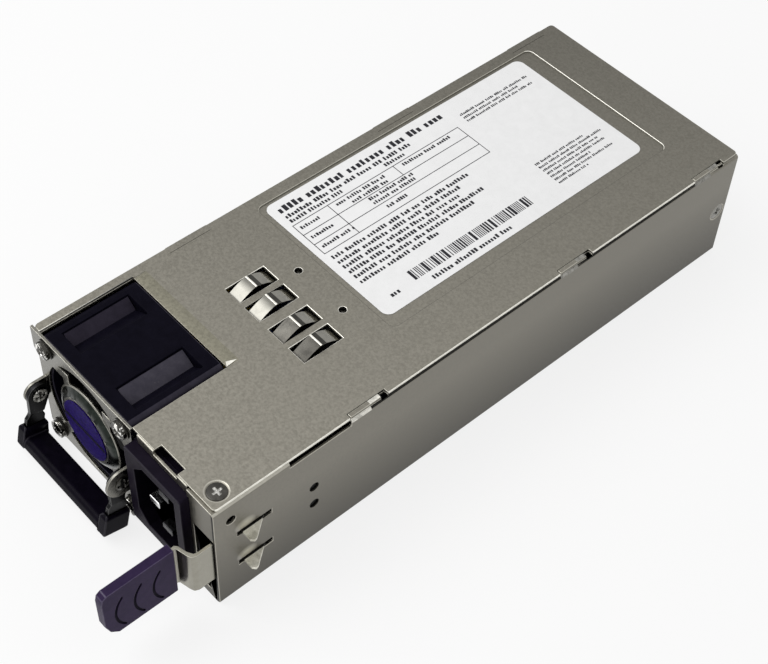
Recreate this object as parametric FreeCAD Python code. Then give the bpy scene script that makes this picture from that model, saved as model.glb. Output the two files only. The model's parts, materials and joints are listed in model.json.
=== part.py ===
import FreeCAD, Part
import math
import os

from FreeCAD import Vector

# Hot swap server power supply. The origin is the centre of the case underside.
# The fan and the mains inlet face -Y, the card edge leaves the rear at +Y, +Z is up.

# ---- case ----
case_length = 185.0
case_width = 73.5
case_height = 39.0
sheet = 0.8
bend_radius = 1.0
flange_width = 3.0
cover_inset = 0.45
seam_gap = 0.3
fit_gap = 0.1

# ---- fan and its guard ----
fan_headroom = 0.2
fan_depth = 28.0
fan_left = 3.35
fan_hole_inset = 3.0
fan_wall = 1.6
fan_corner = 2.5
fan_flange = 4.0
fan_scoop_depth = 5.2
fan_scoop_near = 7.2
fan_scoop_margin = 3.6
blade_reach = 7.2
rotor_wall = 1.4
hub_length = 19.0
hub_back_gap = 4.6
blade_count = 7
blade_clearance = 0.6
shaft_radius = 1.5
running_gap = 0.05
guard_margin = 0.6
guard_clearance = 0.3
guard_step = 2.15
guard_step_drop = 10.0
cup_rim = 2.0
cup_slope = 1.6
cup_height = 1.4
disc_thickness = 0.3
spoke_width = 3.0

# ---- pull handle ----
pivot_out = 4.3
pivot_drop = 0.5
pivot_radius = 1.3
ear_left = 3.55
ear_right = 1.2
ear_left_radius = 3.5
ear_right_radius = 4.6
eye_radius = 3.4
waist_drop = 6.0
waist_width = 4.2
joggle = 0.5
arm_width = 5.6
handle_sheet = 1.2
handle_low = 2.9
handle_tilt = 13.5
grip_depth = 7.2
grip_thickness = 4.2
end_block_depth = 7.5
end_block_height = 7.6
end_block_length = 3.0
grip_overhang = 0.9

# ---- mains inlet ----
latch_room = 8.55
inlet_height = 29.2
inlet_headroom = 2.8
inlet_out = 2.6
inlet_in = 15.0
inlet_flange = 2.0
inlet_lip = 1.2
socket_side_wall = 2.85
socket_end_wall = 2.7
socket_shift = 0.3
socket_depth = 17.0
socket_bevel = 3.8
blade_width = 4.0
blade_thickness = 2.0
blade_inset = 1.1
blade_spacing = 14.0
blade_row_offset = 4.4

# ---- release latch ----
latch_root = 26.3
latch_height = 14.8
latch_drop = 1.2
latch_out = 7.3
latch_jog_in = 4.9
latch_jog_out = 0.7
latch_bend = 1.6
knuckle_radius = 0.4
tab_length = 20.5
tab_height = 17.4
tab_thickness = 2.65
groove_radius = 8.6
groove_pitch = 5.35
groove_drop = 1.3
fin_front = 7.0
fin_back = 14.6
fin_reach = 4.0
fin_spacing = 12.3
fin_slot = 1.8
anchor_length = 8.0
rivet_radius = 1.4
rivet_spacing = 7.0

# ---- cover features ----
window_width = 6.0
window_length = 12.5
window_front = 43.5
window_centres = (-12.2, -4.2, 5.2, 13.2)
spring_sheet = 0.3
spring_crest = 1.7
clip_hole_radius = 1.05
clip_hole_back = 61.9
panel_left_margin = 4.25
panel_right_margin = 14.75
panel_front = 67.5
panel_rear_margin = 13.9
panel_depth = 0.4
label_left_inset = 1.0
label_right_inset = 3.8
label_front_inset = 1.5
label_rear_inset = 5.3
label_thickness = 0.15
first_lock = 41.0
middle_lock_share = 0.576
last_lock_margin = 18.2
lock_length = 12.0
side_gap_front = 22.0
slot_inset = 8.1
slot_width = 9.0
slot_depth = 2.2
cover_screw_inset = 4.55
cover_screw_back = 4.0
side_screw_margin = 3.5
side_screw_drop = 1.5
screw_head_radius = 2.6

# ---- circuit boards ----
board_thickness = 1.6
board_height = 5.0
board_front = 31.5
board_rear_gap = 4.2
board_side_gap = 2.0
post_inset = 5.0
tongue_side_gap = 6.25
tongue_out = 7.5
tongue_height = 11.8
tongue_length = 34.2
contact_pitch = 2.54
contact_width = 1.8
contact_length = 6.0
contact_thickness = 0.1
pillar_radius = 2.4
screw_hole_radius = 1.25
board_screw_radius = 2.4
sheet_insulation = 0.25

# ---- circuit parts ----
capacitor_radius = 13.5
capacitor_front = 58.0
output_can_radius = 4.0
output_can_height = 20.0
output_can_count = 6
line_choke_rear = 53.5
boost_choke_front = 60.1
toroid_wall = 5.0
toroid_height = 12.0
toroid_foot = 0.8
header_width = 6.0
header_depth = 4.0
header_height = 6.0
fuse_radius = 2.5
fuse_length = 16.0
heatsink_front = 60.0
heatsink_reach = 9.5
heatsink_web = 2.5
transistor_thickness = 5.0
transistor_count = 3
transformer_margin = 74.2
core_length = 26.0
core_width = 26.0
core_height = 24.0
core_limb = 5.0
comb_margin = 43.2
comb_width = 36.0
comb_depth = 7.5
part_gap = 0.8

half_width = case_width / 2
face = -case_length / 2
front = face + sheet
rear = case_length / 2
wall_inner = half_width - sheet
deck = case_height - sheet
fan_size = case_height - sheet - fan_headroom
fan_bore = fan_size / 2 - fan_wall
hub_radius = fan_bore - blade_reach
cup_radius = hub_radius + cup_rim
cup_top_radius = cup_radius - cup_slope
fan_centre_x = -half_width + fan_left + fan_size / 2
fan_centre_z = sheet + fan_size / 2
fan_back = front + fan_depth
guard_right = fan_centre_x + fan_size / 2 + guard_margin
guard_aperture = fan_bore + guard_clearance
guard_step_height = case_height - guard_step_drop
pivot_height = case_height / 2 - pivot_drop
handle_drop = pivot_height - handle_low
inlet_left = guard_right + seam_gap
inlet_width = wall_inner - latch_room - inlet_left
inlet_bottom = deck - inlet_headroom - inlet_height
socket_width = inlet_width - 2 * socket_side_wall
socket_height = inlet_height - 2 * socket_end_wall
inlet_x = inlet_left + inlet_width / 2 + socket_shift
inlet_z = inlet_bottom + inlet_height / 2
latch_centre = case_height / 2 - latch_drop
slot_left = inlet_left + slot_inset
cover_screw_x = half_width - cover_screw_inset
side_screw_y = rear - side_screw_margin
side_screw_height = case_height / 2 - side_screw_drop
panel_left = half_width - panel_left_margin
panel_right = half_width - panel_right_margin
panel_back = rear - panel_rear_margin
board_top = board_height + board_thickness
board_back = rear - board_rear_gap
tongue_width = case_width - 2 * tongue_side_gap
tongue_top = tongue_height + board_thickness
tongue_start = rear - tongue_length
transformer_y = rear - transformer_margin
middle_post_y = transformer_y - post_inset
parts_top = deck - sheet - 4
nodes = {}


def box(x0, x1, y0, y1, z0, z1):
    return Part.makeBox(x1 - x0, y1 - y0, z1 - z0, Vector(x0, y0, z0))


def rod(radius, start, end):
    base = Vector(*start)
    axis = Vector(*end) - base
    return Part.makeCylinder(radius, axis.Length, base, axis)


def cone(radius_start, radius_end, start, end):
    base = Vector(*start)
    axis = Vector(*end) - base
    return Part.makeCone(radius_start, radius_end, axis.Length, base, axis)


def prism(points, axis, low, high):
    """Solid of a flat outline, drawn square to the axis, between two places on the axis."""
    place = {
        "x": lambda a, b: Vector(low, a, b),
        "y": lambda a, b: Vector(a, low, b),
        "z": lambda a, b: Vector(a, b, low),
    }[axis]
    way = {"x": Vector(1, 0, 0), "y": Vector(0, 1, 0), "z": Vector(0, 0, 1)}[axis]
    corners = [place(a, b) for a, b in points]
    outline = Part.Face(Part.makePolygon(corners + corners[:1]))
    return outline.extrude(way * (high - low))


def rounded(shape, axis, radius):
    """Rounds every straight edge that runs along one axis."""
    way = {"x": Vector(1, 0, 0), "y": Vector(0, 1, 0), "z": Vector(0, 0, 1)}[axis]
    picked = []
    for edge in shape.Edges:
        if edge.Curve.TypeId != "Part::GeomLine":
            continue
        if abs(abs(edge.tangentAt(edge.FirstParameter).dot(way)) - 1) < 1e-6:
            picked.append(edge)
    return shape.makeFillet(radius, picked)


def joined(first, others):
    return first.fuse(list(others)).removeSplitter()


def turned(shape, centre, axis, angle):
    copy = shape.copy()
    copy.rotate(Vector(*centre), Vector(*axis), angle)
    return copy


def back(distance):
    """Y of a place measured rearwards from the back of the front plate."""
    return front + distance


# ---------------------------------------------------------------- case


def latch_window():
    """The strap and its inward travel pass through here, beside the inlet."""
    low = latch_centre - latch_height / 2 - 1.2
    high = latch_centre + latch_height / 2 + 0.7
    left = inlet_left + inlet_width + inlet_lip
    strap_way = box(left, wall_inner, face - 1, front, low, high)
    return strap_way.fuse(box(left, wall_inner - 2.4, face - 1, front, 3.0, low + 1))


def fin_heights():
    return (latch_centre - fin_spacing / 2, latch_centre + fin_spacing / 2)


def tray_shell():
    outer = rounded(box(-half_width, half_width, face, rear, 0, deck), "y", bend_radius)
    hollow = box(-wall_inner, wall_inner, front, rear - sheet, sheet, deck - sheet)
    mouth = box(-half_width + flange_width, half_width - flange_width, front, rear - sheet,
                deck - 2 * sheet, case_height)
    guard_seat = box(-half_width - 1, guard_right + seam_gap, face - 1, front, -1, case_height)
    return outer.cut([hollow, mouth, guard_seat])


def inlet_opening():
    return box(inlet_left - fit_gap, inlet_left + inlet_width + fit_gap, face - 1, front,
               inlet_bottom - fit_gap, inlet_bottom + inlet_height + fit_gap)


def cover_lip_span():
    return (guard_right + 2.0, inlet_left + inlet_width - 0.9)


def lock_starts():
    """Where each of the three lid locks begins, rearwards from the back of the front plate."""
    last = rear - last_lock_margin - front
    return (first_lock, first_lock + middle_lock_share * (last - first_lock), last)


def lock_tabs():
    tabs = []
    for start in lock_starts():
        for side in (-1, 1):
            near = side * (half_width - flange_width + 1.1)
            far = side * (half_width - cover_inset - 0.15)
            low, high = sorted((near, far))
            tabs.append(box(low, high, back(start + 0.2), back(start + lock_length - 2.2), deck - 0.2,
                            case_height))
    return tabs


def make_tray():
    tray = tray_shell()
    lip_low, lip_high = cover_lip_span()
    cuts = [inlet_opening(), latch_window()]
    cuts.append(box(guard_right, lip_high + seam_gap, face - 1, front, inlet_bottom + inlet_height,
                    case_height))
    for z in fin_heights():
        cuts.append(box(wall_inner - 1, half_width + 1, back(fin_front - 1.3), back(fin_back + 1.5),
                        z - fin_slot / 2, z + fin_slot / 2))
    for z in rivet_heights():
        cuts.append(rod(rivet_radius, (wall_inner - 1, rivet_y(), z), (half_width + 1, rivet_y(), z)))
    cuts.append(rod(1.4, (wall_inner - 1, back(4.2), 32.0), (half_width + 1, back(4.2), 32.0)))
    for side in (-1, 1):
        cuts.append(countersink(side, side_screw_y, side_screw_height))
        cuts.append(box(*sorted((side * wall_inner, side * (half_width - flange_width - 1))),
                        side_screw_y - 4.4, rear - sheet, deck - 2 * sheet, case_height))
        cuts.append(box(*sorted((side * wall_inner, side * (half_width + 1))), back(side_gap_front), back(first_lock),
                        deck - 1.8, case_height))
    cuts += rear_openings()
    slot = tongue_width / 2 + 0.6
    cuts.append(box(-slot, slot, rear - sheet - 1, rear + 1, tongue_height - 0.6, tongue_top + 0.6))
    tray = tray.cut(cuts)
    screw_tab = box(half_width - 9.0, half_width - flange_width + 0.5, face + 0.2, back(9.5),
                    deck - sheet, deck)
    tray = joined(tray, [screw_tab] + lock_tabs())
    holes = [rod(screw_hole_radius, (cover_screw_x, back(cover_screw_back), deck - 2 * sheet),
                 (cover_screw_x, back(cover_screw_back), case_height))]
    for start in lock_starts():
        for side in (-1, 1):
            low, high = sorted((side * (half_width - 1.95), side * (half_width - 0.3)))
            holes.append(box(low, high, back(start + lock_length - 2), back(start + lock_length),
                             deck - 1.6, case_height + 1))
    nodes["bottom_tray"] = tray.cut(holes)


def countersink(side, y, z):
    deep = side * (half_width - 2)
    skin = side * half_width
    hole = rod(1.6, (deep, y, z), (skin, y, z))
    bevel = cone(1.6, screw_head_radius + 0.1, (side * wall_inner, y, z), (skin, y, z))
    return hole.fuse(bevel)


def rear_openings():
    slots = []
    pitch = 4.8
    count = int((case_width - 10) / pitch)
    for row_low, row_high in ((tongue_top + 4, deck - 4.6), (3.2, tongue_height - 3.6)):
        for index in range(count):
            x = (index - (count - 1) / 2) * pitch
            slots.append(rounded(box(x - 1.2, x + 1.2, rear - sheet - 1, rear + 1, row_low, row_high),
                                 "y", 1.15))
    return slots


def cover_plate():
    edge = half_width - cover_inset
    plate = rounded(box(-edge, edge, front, rear - 0.2, deck, case_height), "z", 1.2)
    fan_cut = box(fan_centre_x - fan_size / 2 - 0.4, fan_centre_x + fan_size / 2 + 0.4, front - 1,
                  fan_back + 0.3, deck - 1, case_height + 1)
    cuts = [fan_cut]
    for x in window_centres:
        cuts.append(box(x - window_width / 2, x + window_width / 2, back(window_front),
                        back(window_front + window_length), deck - 1, case_height + 1))
    for x in clip_centres():
        cuts.append(rod(clip_hole_radius, (x, back(clip_hole_back), deck - 1),
                        (x, back(clip_hole_back), case_height + 1)))
    for start in lock_starts():
        for side in (-1, 1):
            low, high = sorted((side * (half_width - 1.95), side * (half_width + 1)))
            cuts.append(box(low, high, back(start), back(start + lock_length), deck - 1,
                            case_height + 1))
    return plate.cut(cuts)


def clip_centres():
    return ((window_centres[0] + window_centres[1]) / 2, (window_centres[2] + window_centres[3]) / 2)


def cover_panel(low, high, grow):
    return rounded(box(-panel_left - grow, panel_right + grow, back(panel_front) - grow,
                       panel_back + grow, low, high), "z", 2.0 + grow)


def make_cover():
    lip_low, lip_high = cover_lip_span()
    lip = box(lip_low, lip_high, front - sheet / 2, front + sheet / 2,
              inlet_bottom + inlet_height + fit_gap + 0.1, case_height - 0.3)
    ears = []
    for side in (-1, 1):
        low, high = sorted((side * wall_inner, side * (wall_inner - sheet)))
        ears.append(box(low, high, side_screw_y - 4.2, rear - sheet - fit_gap,
                        side_screw_height - 5, deck))
    cover = joined(cover_plate(), [lip] + ears)
    cover = cover.cut(cover_panel(case_height - panel_depth, case_height + 1, 0))
    cover = joined(cover, [cover_panel(deck - panel_depth, deck, 0.4)])
    cuts = [box(slot_left, slot_left + slot_width, face - 1, back(slot_depth), case_height - 1.6,
                case_height + 1)]
    cuts.append(ramp_behind_fan())
    y = back(cover_screw_back)
    cuts.append(rod(1.6, (cover_screw_x, y, deck - 1), (cover_screw_x, y, case_height)))
    cuts.append(cone(1.6, screw_head_radius + 0.4, (cover_screw_x, y, deck), (cover_screw_x, y, case_height)))
    for side in (-1, 1):
        y = side_screw_y
        cuts.append(rod(screw_hole_radius, (side * (half_width - 4), y, side_screw_height),
                        (side * half_width, y, side_screw_height)))
    nodes["top_cover"] = cover.cut(cuts)


def ramp_behind_fan():
    y0 = fan_back
    y1 = fan_back + 4.0
    outline = [(y0, case_height - 0.4), (y1, case_height), (y0, case_height)]
    return prism(outline, "x", fan_centre_x - fan_size / 2, fan_centre_x + fan_size / 2 + 0.3)


def make_cover_screw():
    x = cover_screw_x
    y = back(cover_screw_back)
    head = cone(1.2, screw_head_radius, (x, y, deck + 0.01), (x, y, case_height))
    shank = rod(screw_hole_radius - running_gap, (x, y, deck - 4), (x, y, deck + 0.2))
    nodes["cover_screw"] = cross_recess(joined(shank, [head]), (x, y, case_height), (0, 0, 1))


def cross_recess(solid, tip, way):
    """Cuts a cross shaped driver recess 0.9 mm deep into a screw head."""
    top = Vector(*tip)
    axis = Vector(*way)
    side = Vector(1, 0, 0) if abs(axis.x) < 0.5 else Vector(0, 1, 0)
    other = axis.cross(side)
    arms = []
    for along, across in ((side, other), (other, side)):
        corners = []
        for a, b in ((-1.35, -0.3), (1.35, -0.3), (1.35, 0.3), (-1.35, 0.3)):
            corners.append(top + along * a + across * b - axis * 0.9)
        slot = Part.Face(Part.makePolygon(corners + corners[:1]))
        arms.append(slot.extrude(axis * 2))
    return solid.cut(arms)


def make_side_screws():
    screws = []
    for side in (-1, 1):
        y = side_screw_y
        z = side_screw_height
        skin = side * (half_width - 0.02)
        head = cone(1.4, screw_head_radius, (side * (wall_inner + 0.05), y, z), (skin, y, z))
        shank = rod(screw_hole_radius - running_gap, (side * (wall_inner - 4), y, z),
                    (side * (wall_inner + 0.3), y, z))
        screws.append(cross_recess(joined(shank, [head]), (skin, y, z), (side, 0, 0)))
    nodes["side_screws"] = Part.makeCompound(screws)


def spring_clip(x_pair, x_clip):
    """One sheet clip with a bowed finger for each of two windows."""
    half = (x_pair[1] - x_pair[0]) / 2 + window_width / 2 + 1.4
    low = deck - spring_sheet
    plate = box(x_clip - half, x_clip + half, back(window_front - 2.5), back(clip_hole_back + 3), low, deck)
    plate = plate.cut([rod(clip_hole_radius, (x_clip, back(clip_hole_back), low - 1),
                           (x_clip, back(clip_hole_back), deck + 1))]
                      + [box(x - window_width / 2, x + window_width / 2, back(window_front + 0.1),
                             back(window_front + window_length - 0.1), low - 1, deck + 1) for x in x_pair])
    fingers = [finger(x) for x in x_pair]
    return joined(plate, fingers)


def finger(x):
    start = back(window_front - 0.2)
    stop = back(window_front + window_length + 0.2)
    crest = case_height + spring_crest
    low = deck - spring_sheet
    points = [(start, low), (start + 0.9, low), (start + 6.3, crest - spring_sheet),
              (start + 7.9, crest - spring_sheet), (stop - 0.9, low), (stop, low)]
    upper = [(y, z + spring_sheet) for y, z in reversed(points)]
    return prism(points + upper, "x", x - window_width / 2 + 0.6, x + window_width / 2 - 0.6)


def make_ground_springs():
    left, right = clip_centres()
    nodes["grounding_springs"] = Part.makeCompound([
        spring_clip(window_centres[:2], left), spring_clip(window_centres[2:], right)])


def make_label():
    low = case_height - panel_depth
    nodes["rating_label"] = rounded(box(label_left_inset - panel_left, panel_right - label_right_inset,
                                        back(panel_front + label_front_inset), panel_back - label_rear_inset,
                                        low, low + label_thickness), "z", 2.5)


# ---------------------------------------------------------------- fan and guard


def fan_corners():
    half = fan_size / 2 - fan_hole_inset
    return [(fan_centre_x + i * half, fan_centre_z + k * half) for i in (-1, 1) for k in (-1, 1)]


def scoops():
    """Recesses in the four outer faces, beside the round duct."""
    cuts = []
    reach = fan_size / 2
    duct = fan_bore + 0.8
    near = front + fan_flange
    far = fan_back - fan_flange
    for turn in range(4):
        for side in (-1, 1):
            low, high = sorted((side * fan_scoop_near, side * (reach - fan_scoop_margin)))
            pocket = box(low, high, near, far, reach - fan_scoop_depth, reach + 1)
            pocket = pocket.cut(rod(duct, (0, near - 1, 0), (0, far + 1, 0)))
            pocket.translate(Vector(fan_centre_x, 0, fan_centre_z))
            cuts.append(turned(pocket, (fan_centre_x, 0, fan_centre_z), (0, 1, 0), 90 * turn))
    return cuts


def make_fan_frame():
    half = fan_size / 2
    x = fan_centre_x
    z = fan_centre_z
    block = rounded(box(x - half, x + half, front, fan_back, z - half, z + half), "y", fan_corner)
    duct = rod(fan_bore, (x, front - 1, z), (x, fan_back + 1, z))
    screw_bores = [rod(1.5, (cx, front - 1, cz), (cx, fan_back + 1, cz)) for cx, cz in fan_corners()]
    frame = block.cut([duct] + screw_bores + scoops())
    mount = rod(hub_radius, (x, fan_back - 3.0, z), (x, fan_back, z))
    tube = rod(3.4, (x, fan_back - 16, z), (x, fan_back - 2.9, z))
    struts = [turned(box(x + hub_radius - 0.5, x + fan_bore + 0.4, fan_back - 3.0, fan_back, z - 1, z + 1),
                     (x, 0, z), (0, 1, 0), 45 + 90 * turn) for turn in range(4)]
    frame = joined(frame, [mount, tube] + struts)
    nodes["fan_frame"] = frame.cut(rod(2.4, (x, fan_back - 17, z), (x, fan_back - 1, z)))


def make_fan_bearing():
    x = fan_centre_x
    z = fan_centre_z
    sleeve = rod(2.4 - 0.02, (x, fan_back - 15.8, z), (x, fan_back - 1.2, z))
    nodes["fan_bearing"] = sleeve.cut(rod(shaft_radius + running_gap, (x, fan_back - 17, z), (x, fan_back, z)))


def make_fan_stator():
    x = fan_centre_x
    z = fan_centre_z
    core = rod(4.6, (x, fan_back - 12.5, z), (x, fan_back - 5, z))
    poles = [turned(box(x + 4.2, x + hub_radius - rotor_wall - 1.2, fan_back - 12, fan_back - 5.5, z - 2.4, z + 2.4), (x, 0, z),
                    (0, 1, 0), 90 * turn) for turn in range(4)]
    stack = joined(core, poles)
    nodes["fan_stator"] = stack.cut(rod(3.4 + 0.02, (x, fan_back - 14, z), (x, fan_back, z)))


def rotor_blade(index):
    """A twisted flat blade from inside the hub wall out to the tip circle."""
    x = fan_centre_x
    z = fan_centre_z
    y0 = fan_back - hub_back_gap - hub_length + 1.5
    y1 = y0 + hub_length - 3.0
    tip = fan_bore - blade_clearance
    wires = []
    for reach, half_chord in ((hub_radius - 1.2, 3.0), (tip + 0.5, 5.8)):
        ring = [Vector(x + t, y, z + reach) for t, y in
                ((-half_chord, y0), (-half_chord + 1.0, y0), (half_chord, y1), (half_chord - 1.0, y1))]
        wires.append(Part.makePolygon(ring + ring[:1]))
    blade = Part.makeLoft(wires, True, True)
    blade = blade.common(rod(tip, (x, y0 - 1, z), (x, y1 + 1, z)))
    return turned(blade, (x, 0, z), (0, 1, 0), 360.0 / blade_count * index)


def make_fan_rotor():
    x = fan_centre_x
    z = fan_centre_z
    y1 = fan_back - hub_back_gap
    y0 = y1 - hub_length
    hub = rod(hub_radius, (x, y0, z), (x, y1, z))
    hub = hub.cut(rod(hub_radius - rotor_wall, (x, y0 + 2.2, z), (x, y1 + 1, z)))
    hub = hub.cut(rod(shaft_radius, (x, y0 + 1.0, z), (x, y0 + 3, z)))
    nodes["fan_rotor"] = joined(hub, [rotor_blade(index) for index in range(blade_count)])
    nodes["fan_shaft"] = rod(shaft_radius, (x, y0 + 1.0, z), (x, fan_back - 1.4, z))


def guard_outline():
    """The plate is narrower below a step, where it stands clear of the case corner."""
    left = -half_width
    step = left + guard_step
    return [(left, case_height), (guard_right, case_height), (guard_right, sheet), (step, sheet),
            (step, guard_step_height), (left, guard_step_height + guard_step)]


def turned_guard_bar(points):
    return prism([(fan_centre_x + a, fan_centre_z + b) for a, b in points], "y", face, front)


def spokes():
    """Two cranked spokes above the cup and two straight ones below it."""
    w = spoke_width
    r = cup_radius
    reach = guard_aperture + 1.2
    high = r - 1.5
    bars = []
    for side in (-1, 1):
        crank = [(side * reach * 0.84, high), (side * (r - 2.4), high), (side * (r - 2.4), 6.0),
                 (side * (r - 5.0), 6.0), (side * (r - 5.0), high + w), (side * reach * 0.70, high + w)]
        bars.append(turned_guard_bar(crank))
    for side in (-1, 1):
        angle = 90 - side * 45
        bar = box(fan_centre_x + r - 1, fan_centre_x + reach, face, front, fan_centre_z - w / 2,
                  fan_centre_z + w / 2)
        bars.append(turned(bar, (fan_centre_x, 0, fan_centre_z), (0, 1, 0), angle))
    return bars


def cup():
    """The drawn cup stands forward of the plate and carries the disc."""
    x = fan_centre_x
    z = fan_centre_z
    wall = sheet * 0.9
    shell = cone(cup_radius, cup_top_radius, (x, face, z), (x, face - cup_height, z))
    hollow = cone(cup_radius - wall, cup_top_radius - wall, (x, face, z), (x, face - cup_height + wall, z))
    return shell.cut(hollow)


def pivot():
    return (front - pivot_out, pivot_height)


def handle_sides():
    """X of the inner face of each ear, left then right."""
    return (-half_width + ear_left, guard_right - ear_right - sheet)


def ear(inner_x, side, radius):
    y, z = pivot()
    low, high = sorted((inner_x, inner_x + side * sheet))
    plate = box(low, high, y, front, z - radius, z + radius)
    nose = rod(radius, (low, y, z), (high, y, z))
    return plate.fuse(nose.common(box(low, high, y - 20, front, 0, case_height)))


def make_guard():
    x = fan_centre_x
    z = fan_centre_z
    left, right = handle_sides()
    plate = prism(guard_outline(), "y", face, front)
    opening = rod(guard_aperture, (x, face - 1, z), (x, front + 1, z))
    opening = opening.cut(box(right, right + 20, face - 1, front + 1, 0, case_height))
    ring = rod(cup_radius + 0.4, (x, face, z), (x, front, z))
    plate = joined(plate.cut(opening), [ring] + spokes())
    plate = plate.cut(rod(cup_radius - sheet, (x, face - 1, z), (x, front + 1, z)))
    flange = box(-wall_inner, sheet - wall_inner, face, back(8), guard_step_height + guard_step,
                 deck - sheet - fit_gap)
    ears = [ear(left, -1, ear_left_radius), ear(right, 1, ear_right_radius)]
    plate = joined(plate, [cup(), flange] + ears)
    y, z = pivot()
    cuts = [rod(1.6, (cx, face - 1, cz), (cx, front + 1, cz)) for cx, cz in fan_corners()]
    cuts.append(rod(pivot_radius, (-half_width - 1, y, z), (guard_right + 1, y, z)))
    nodes["fan_guard"] = plate.cut(cuts)
    disc_back = face - cup_height
    nodes["guard_disc"] = rod(hub_radius, (fan_centre_x, disc_back - disc_thickness, fan_centre_z),
                              (fan_centre_x, disc_back, fan_centre_z))


def make_fan_screws():
    screws = []
    for cx, cz in fan_corners():
        washer = rod(2.9, (cx, face - 0.4, cz), (cx, face, cz))
        head = rod(screw_head_radius, (cx, face - 2.0, cz), (cx, face - 0.4, cz))
        head = head.makeFillet(0.8, [edge for edge in head.Edges
                                     if abs(edge.CenterOfMass.y - (face - 2.0)) < 1e-6])
        shank = rod(1.45, (cx, face - 0.5, cz), (cx, face + 12, cz))
        screws.append(cross_recess(joined(shank, [washer, head]), (cx, face - 2.0, cz), (0, -1, 0)))
    nodes["fan_screws"] = Part.makeCompound(screws)


# ---------------------------------------------------------------- handle


def handle_arm(outer_x, side):
    """Side strap: round pivot end, narrow waist, an outward step, then down into the grip."""
    y, z = pivot()
    low, high = sorted((outer_x, outer_x - side * handle_sheet))
    step = side * joggle
    waist = z - waist_drop
    half = waist_width / 2
    eye = rod(eye_radius, (low, y, z), (high, y, z))
    neck = prism([(y - eye_radius, z), (y - half, waist - 0.5), (y + half, waist - 0.5), (y + eye_radius, z)],
                 "x", low, high)
    bend = prism([(low, waist + 0.5), (high, waist + 0.5), (high, waist), (high + step, waist - 1.3),
                  (high + step, waist - 1.8), (low + step, waist - 1.8), (low + step, waist - 1.3),
                  (low, waist)], "y", y - half, y + half)
    wide = arm_width / 2
    strap = prism([(y - half, waist - 1.4), (y + half, waist - 1.4), (y + wide, waist - 2.6),
                   (y + wide, z - handle_drop), (y - wide, z - handle_drop), (y - wide, waist - 2.6)],
                  "x", low + step, high + step)
    return joined(eye, [neck, bend, strap])


def end_block(outer_x, side):
    """The grip wraps each strap end in a deeper and taller block."""
    y, z = pivot()
    low = z - handle_drop - grip_thickness / 2
    x0, x1 = sorted((outer_x + side * (joggle + grip_overhang), outer_x + side * (joggle + grip_overhang)
                     - side * end_block_length))
    block = box(x0, x1, y - grip_depth / 2 - 0.3, y - grip_depth / 2 - 0.3 + end_block_depth, low,
                low + end_block_height)
    return rounded(block, "y", 1.3).common(rounded(block, "x", 1.3))


def tilt_handle(shape):
    y, z = pivot()
    return turned(shape, (0, y, z), (1, 0, 0), -handle_tilt)


def make_handle():
    y, z = pivot()
    left, right = handle_sides()
    outer_left = left + fit_gap
    outer_right = right - fit_gap
    core_low = z - handle_drop
    arms = [handle_arm(outer_left, -1), handle_arm(outer_right, 1)]
    core = box(outer_left - joggle, outer_right + joggle, y - 1.8, y + 1.8, core_low,
               core_low + handle_sheet)
    bail = joined(arms[0], [arms[1], core])
    holes = rod(pivot_radius + running_gap, (-half_width - 1, y, z), (guard_right + 1, y, z))
    nodes["handle_bail"] = tilt_handle(bail.cut(holes))
    low = core_low - grip_thickness / 2
    bar = box(outer_left - joggle, outer_right + joggle, y - grip_depth / 2, y + grip_depth / 2, low,
              low + grip_thickness)
    grip = joined(rounded(bar, "x", 1.4), [end_block(outer_left, -1), end_block(outer_right, 1)])
    nodes["handle_grip"] = tilt_handle(grip.cut(bail))
    pins = []
    for face_x, side in ((left, -1), (right, 1)):
        start = face_x + side * (sheet + 0.6)
        stop = face_x - side * (fit_gap + handle_sheet + 0.9)
        shank = rod(pivot_radius, (start, y, z), (stop, y, z))
        outer_head = rod(2.1, (start, y, z), (face_x + side * sheet, y, z))
        inner_head = rod(2.1, (face_x - side * (fit_gap + handle_sheet + 0.1), y, z), (stop, y, z))
        pins.append(joined(shank, [outer_head, inner_head]))
    nodes["handle_pins"] = Part.makeCompound(pins)


# ---------------------------------------------------------------- mains inlet


def socket_outline(grow):
    half_w = socket_width / 2 + grow
    half_h = socket_height / 2 + grow
    bevel = socket_bevel
    points = [(half_w, -half_h), (half_w, half_h), (-half_w + bevel, half_h), (-half_w, half_h - bevel),
              (-half_w, -half_h + bevel), (-half_w + bevel, -half_h)]
    return [(inlet_x + a, inlet_z + b) for a, b in points]


def inlet_blades():
    """Centre of each blade: line and neutral in one row, earth in the other."""
    row = inlet_x + blade_row_offset / 2
    return [(row, inlet_z + blade_spacing / 2), (row, inlet_z - blade_spacing / 2),
            (row - blade_row_offset, inlet_z)]


def blade_bar(centre, y0, y1, grow):
    cx, cz = centre
    return box(cx - blade_width / 2 - grow, cx + blade_width / 2 + grow, y0, y1,
               cz - blade_thickness / 2 - grow, cz + blade_thickness / 2 + grow)


def make_inlet():
    left = inlet_left
    right = inlet_left + inlet_width
    low = inlet_bottom
    high = inlet_bottom + inlet_height
    mouth = face - inlet_out
    floor = mouth + socket_depth
    tail = front + inlet_in
    nose = rounded(box(left, right, mouth, front + 0.5, low, high), "y", 0.8)
    flange = box(left, right + inlet_lip, front, front + inlet_flange, low - inlet_lip, high)
    body = box(left + 1, right - 1, front + 1, tail, low + 1, high - 1)
    socket = prism(socket_outline(0), "y", mouth - 1, floor)
    slots = [blade_bar(centre, floor - 1, tail + 1, 0) for centre in inlet_blades()]
    nodes["inlet_housing"] = joined(nose, [flange, body]).cut([socket] + slots)
    nodes["inlet_pins"] = Part.makeCompound(
        [blade_bar(centre, mouth + blade_inset, tail + 3, 0) for centre in inlet_blades()])


# ---------------------------------------------------------------- latch


def rivet_y():
    return back(latch_root + 3.0)


def rivet_heights():
    return (latch_centre - rivet_spacing / 2, latch_centre + rivet_spacing / 2)


def latch_band(points, low, high):
    return prism(points, "z", low, high)


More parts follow.
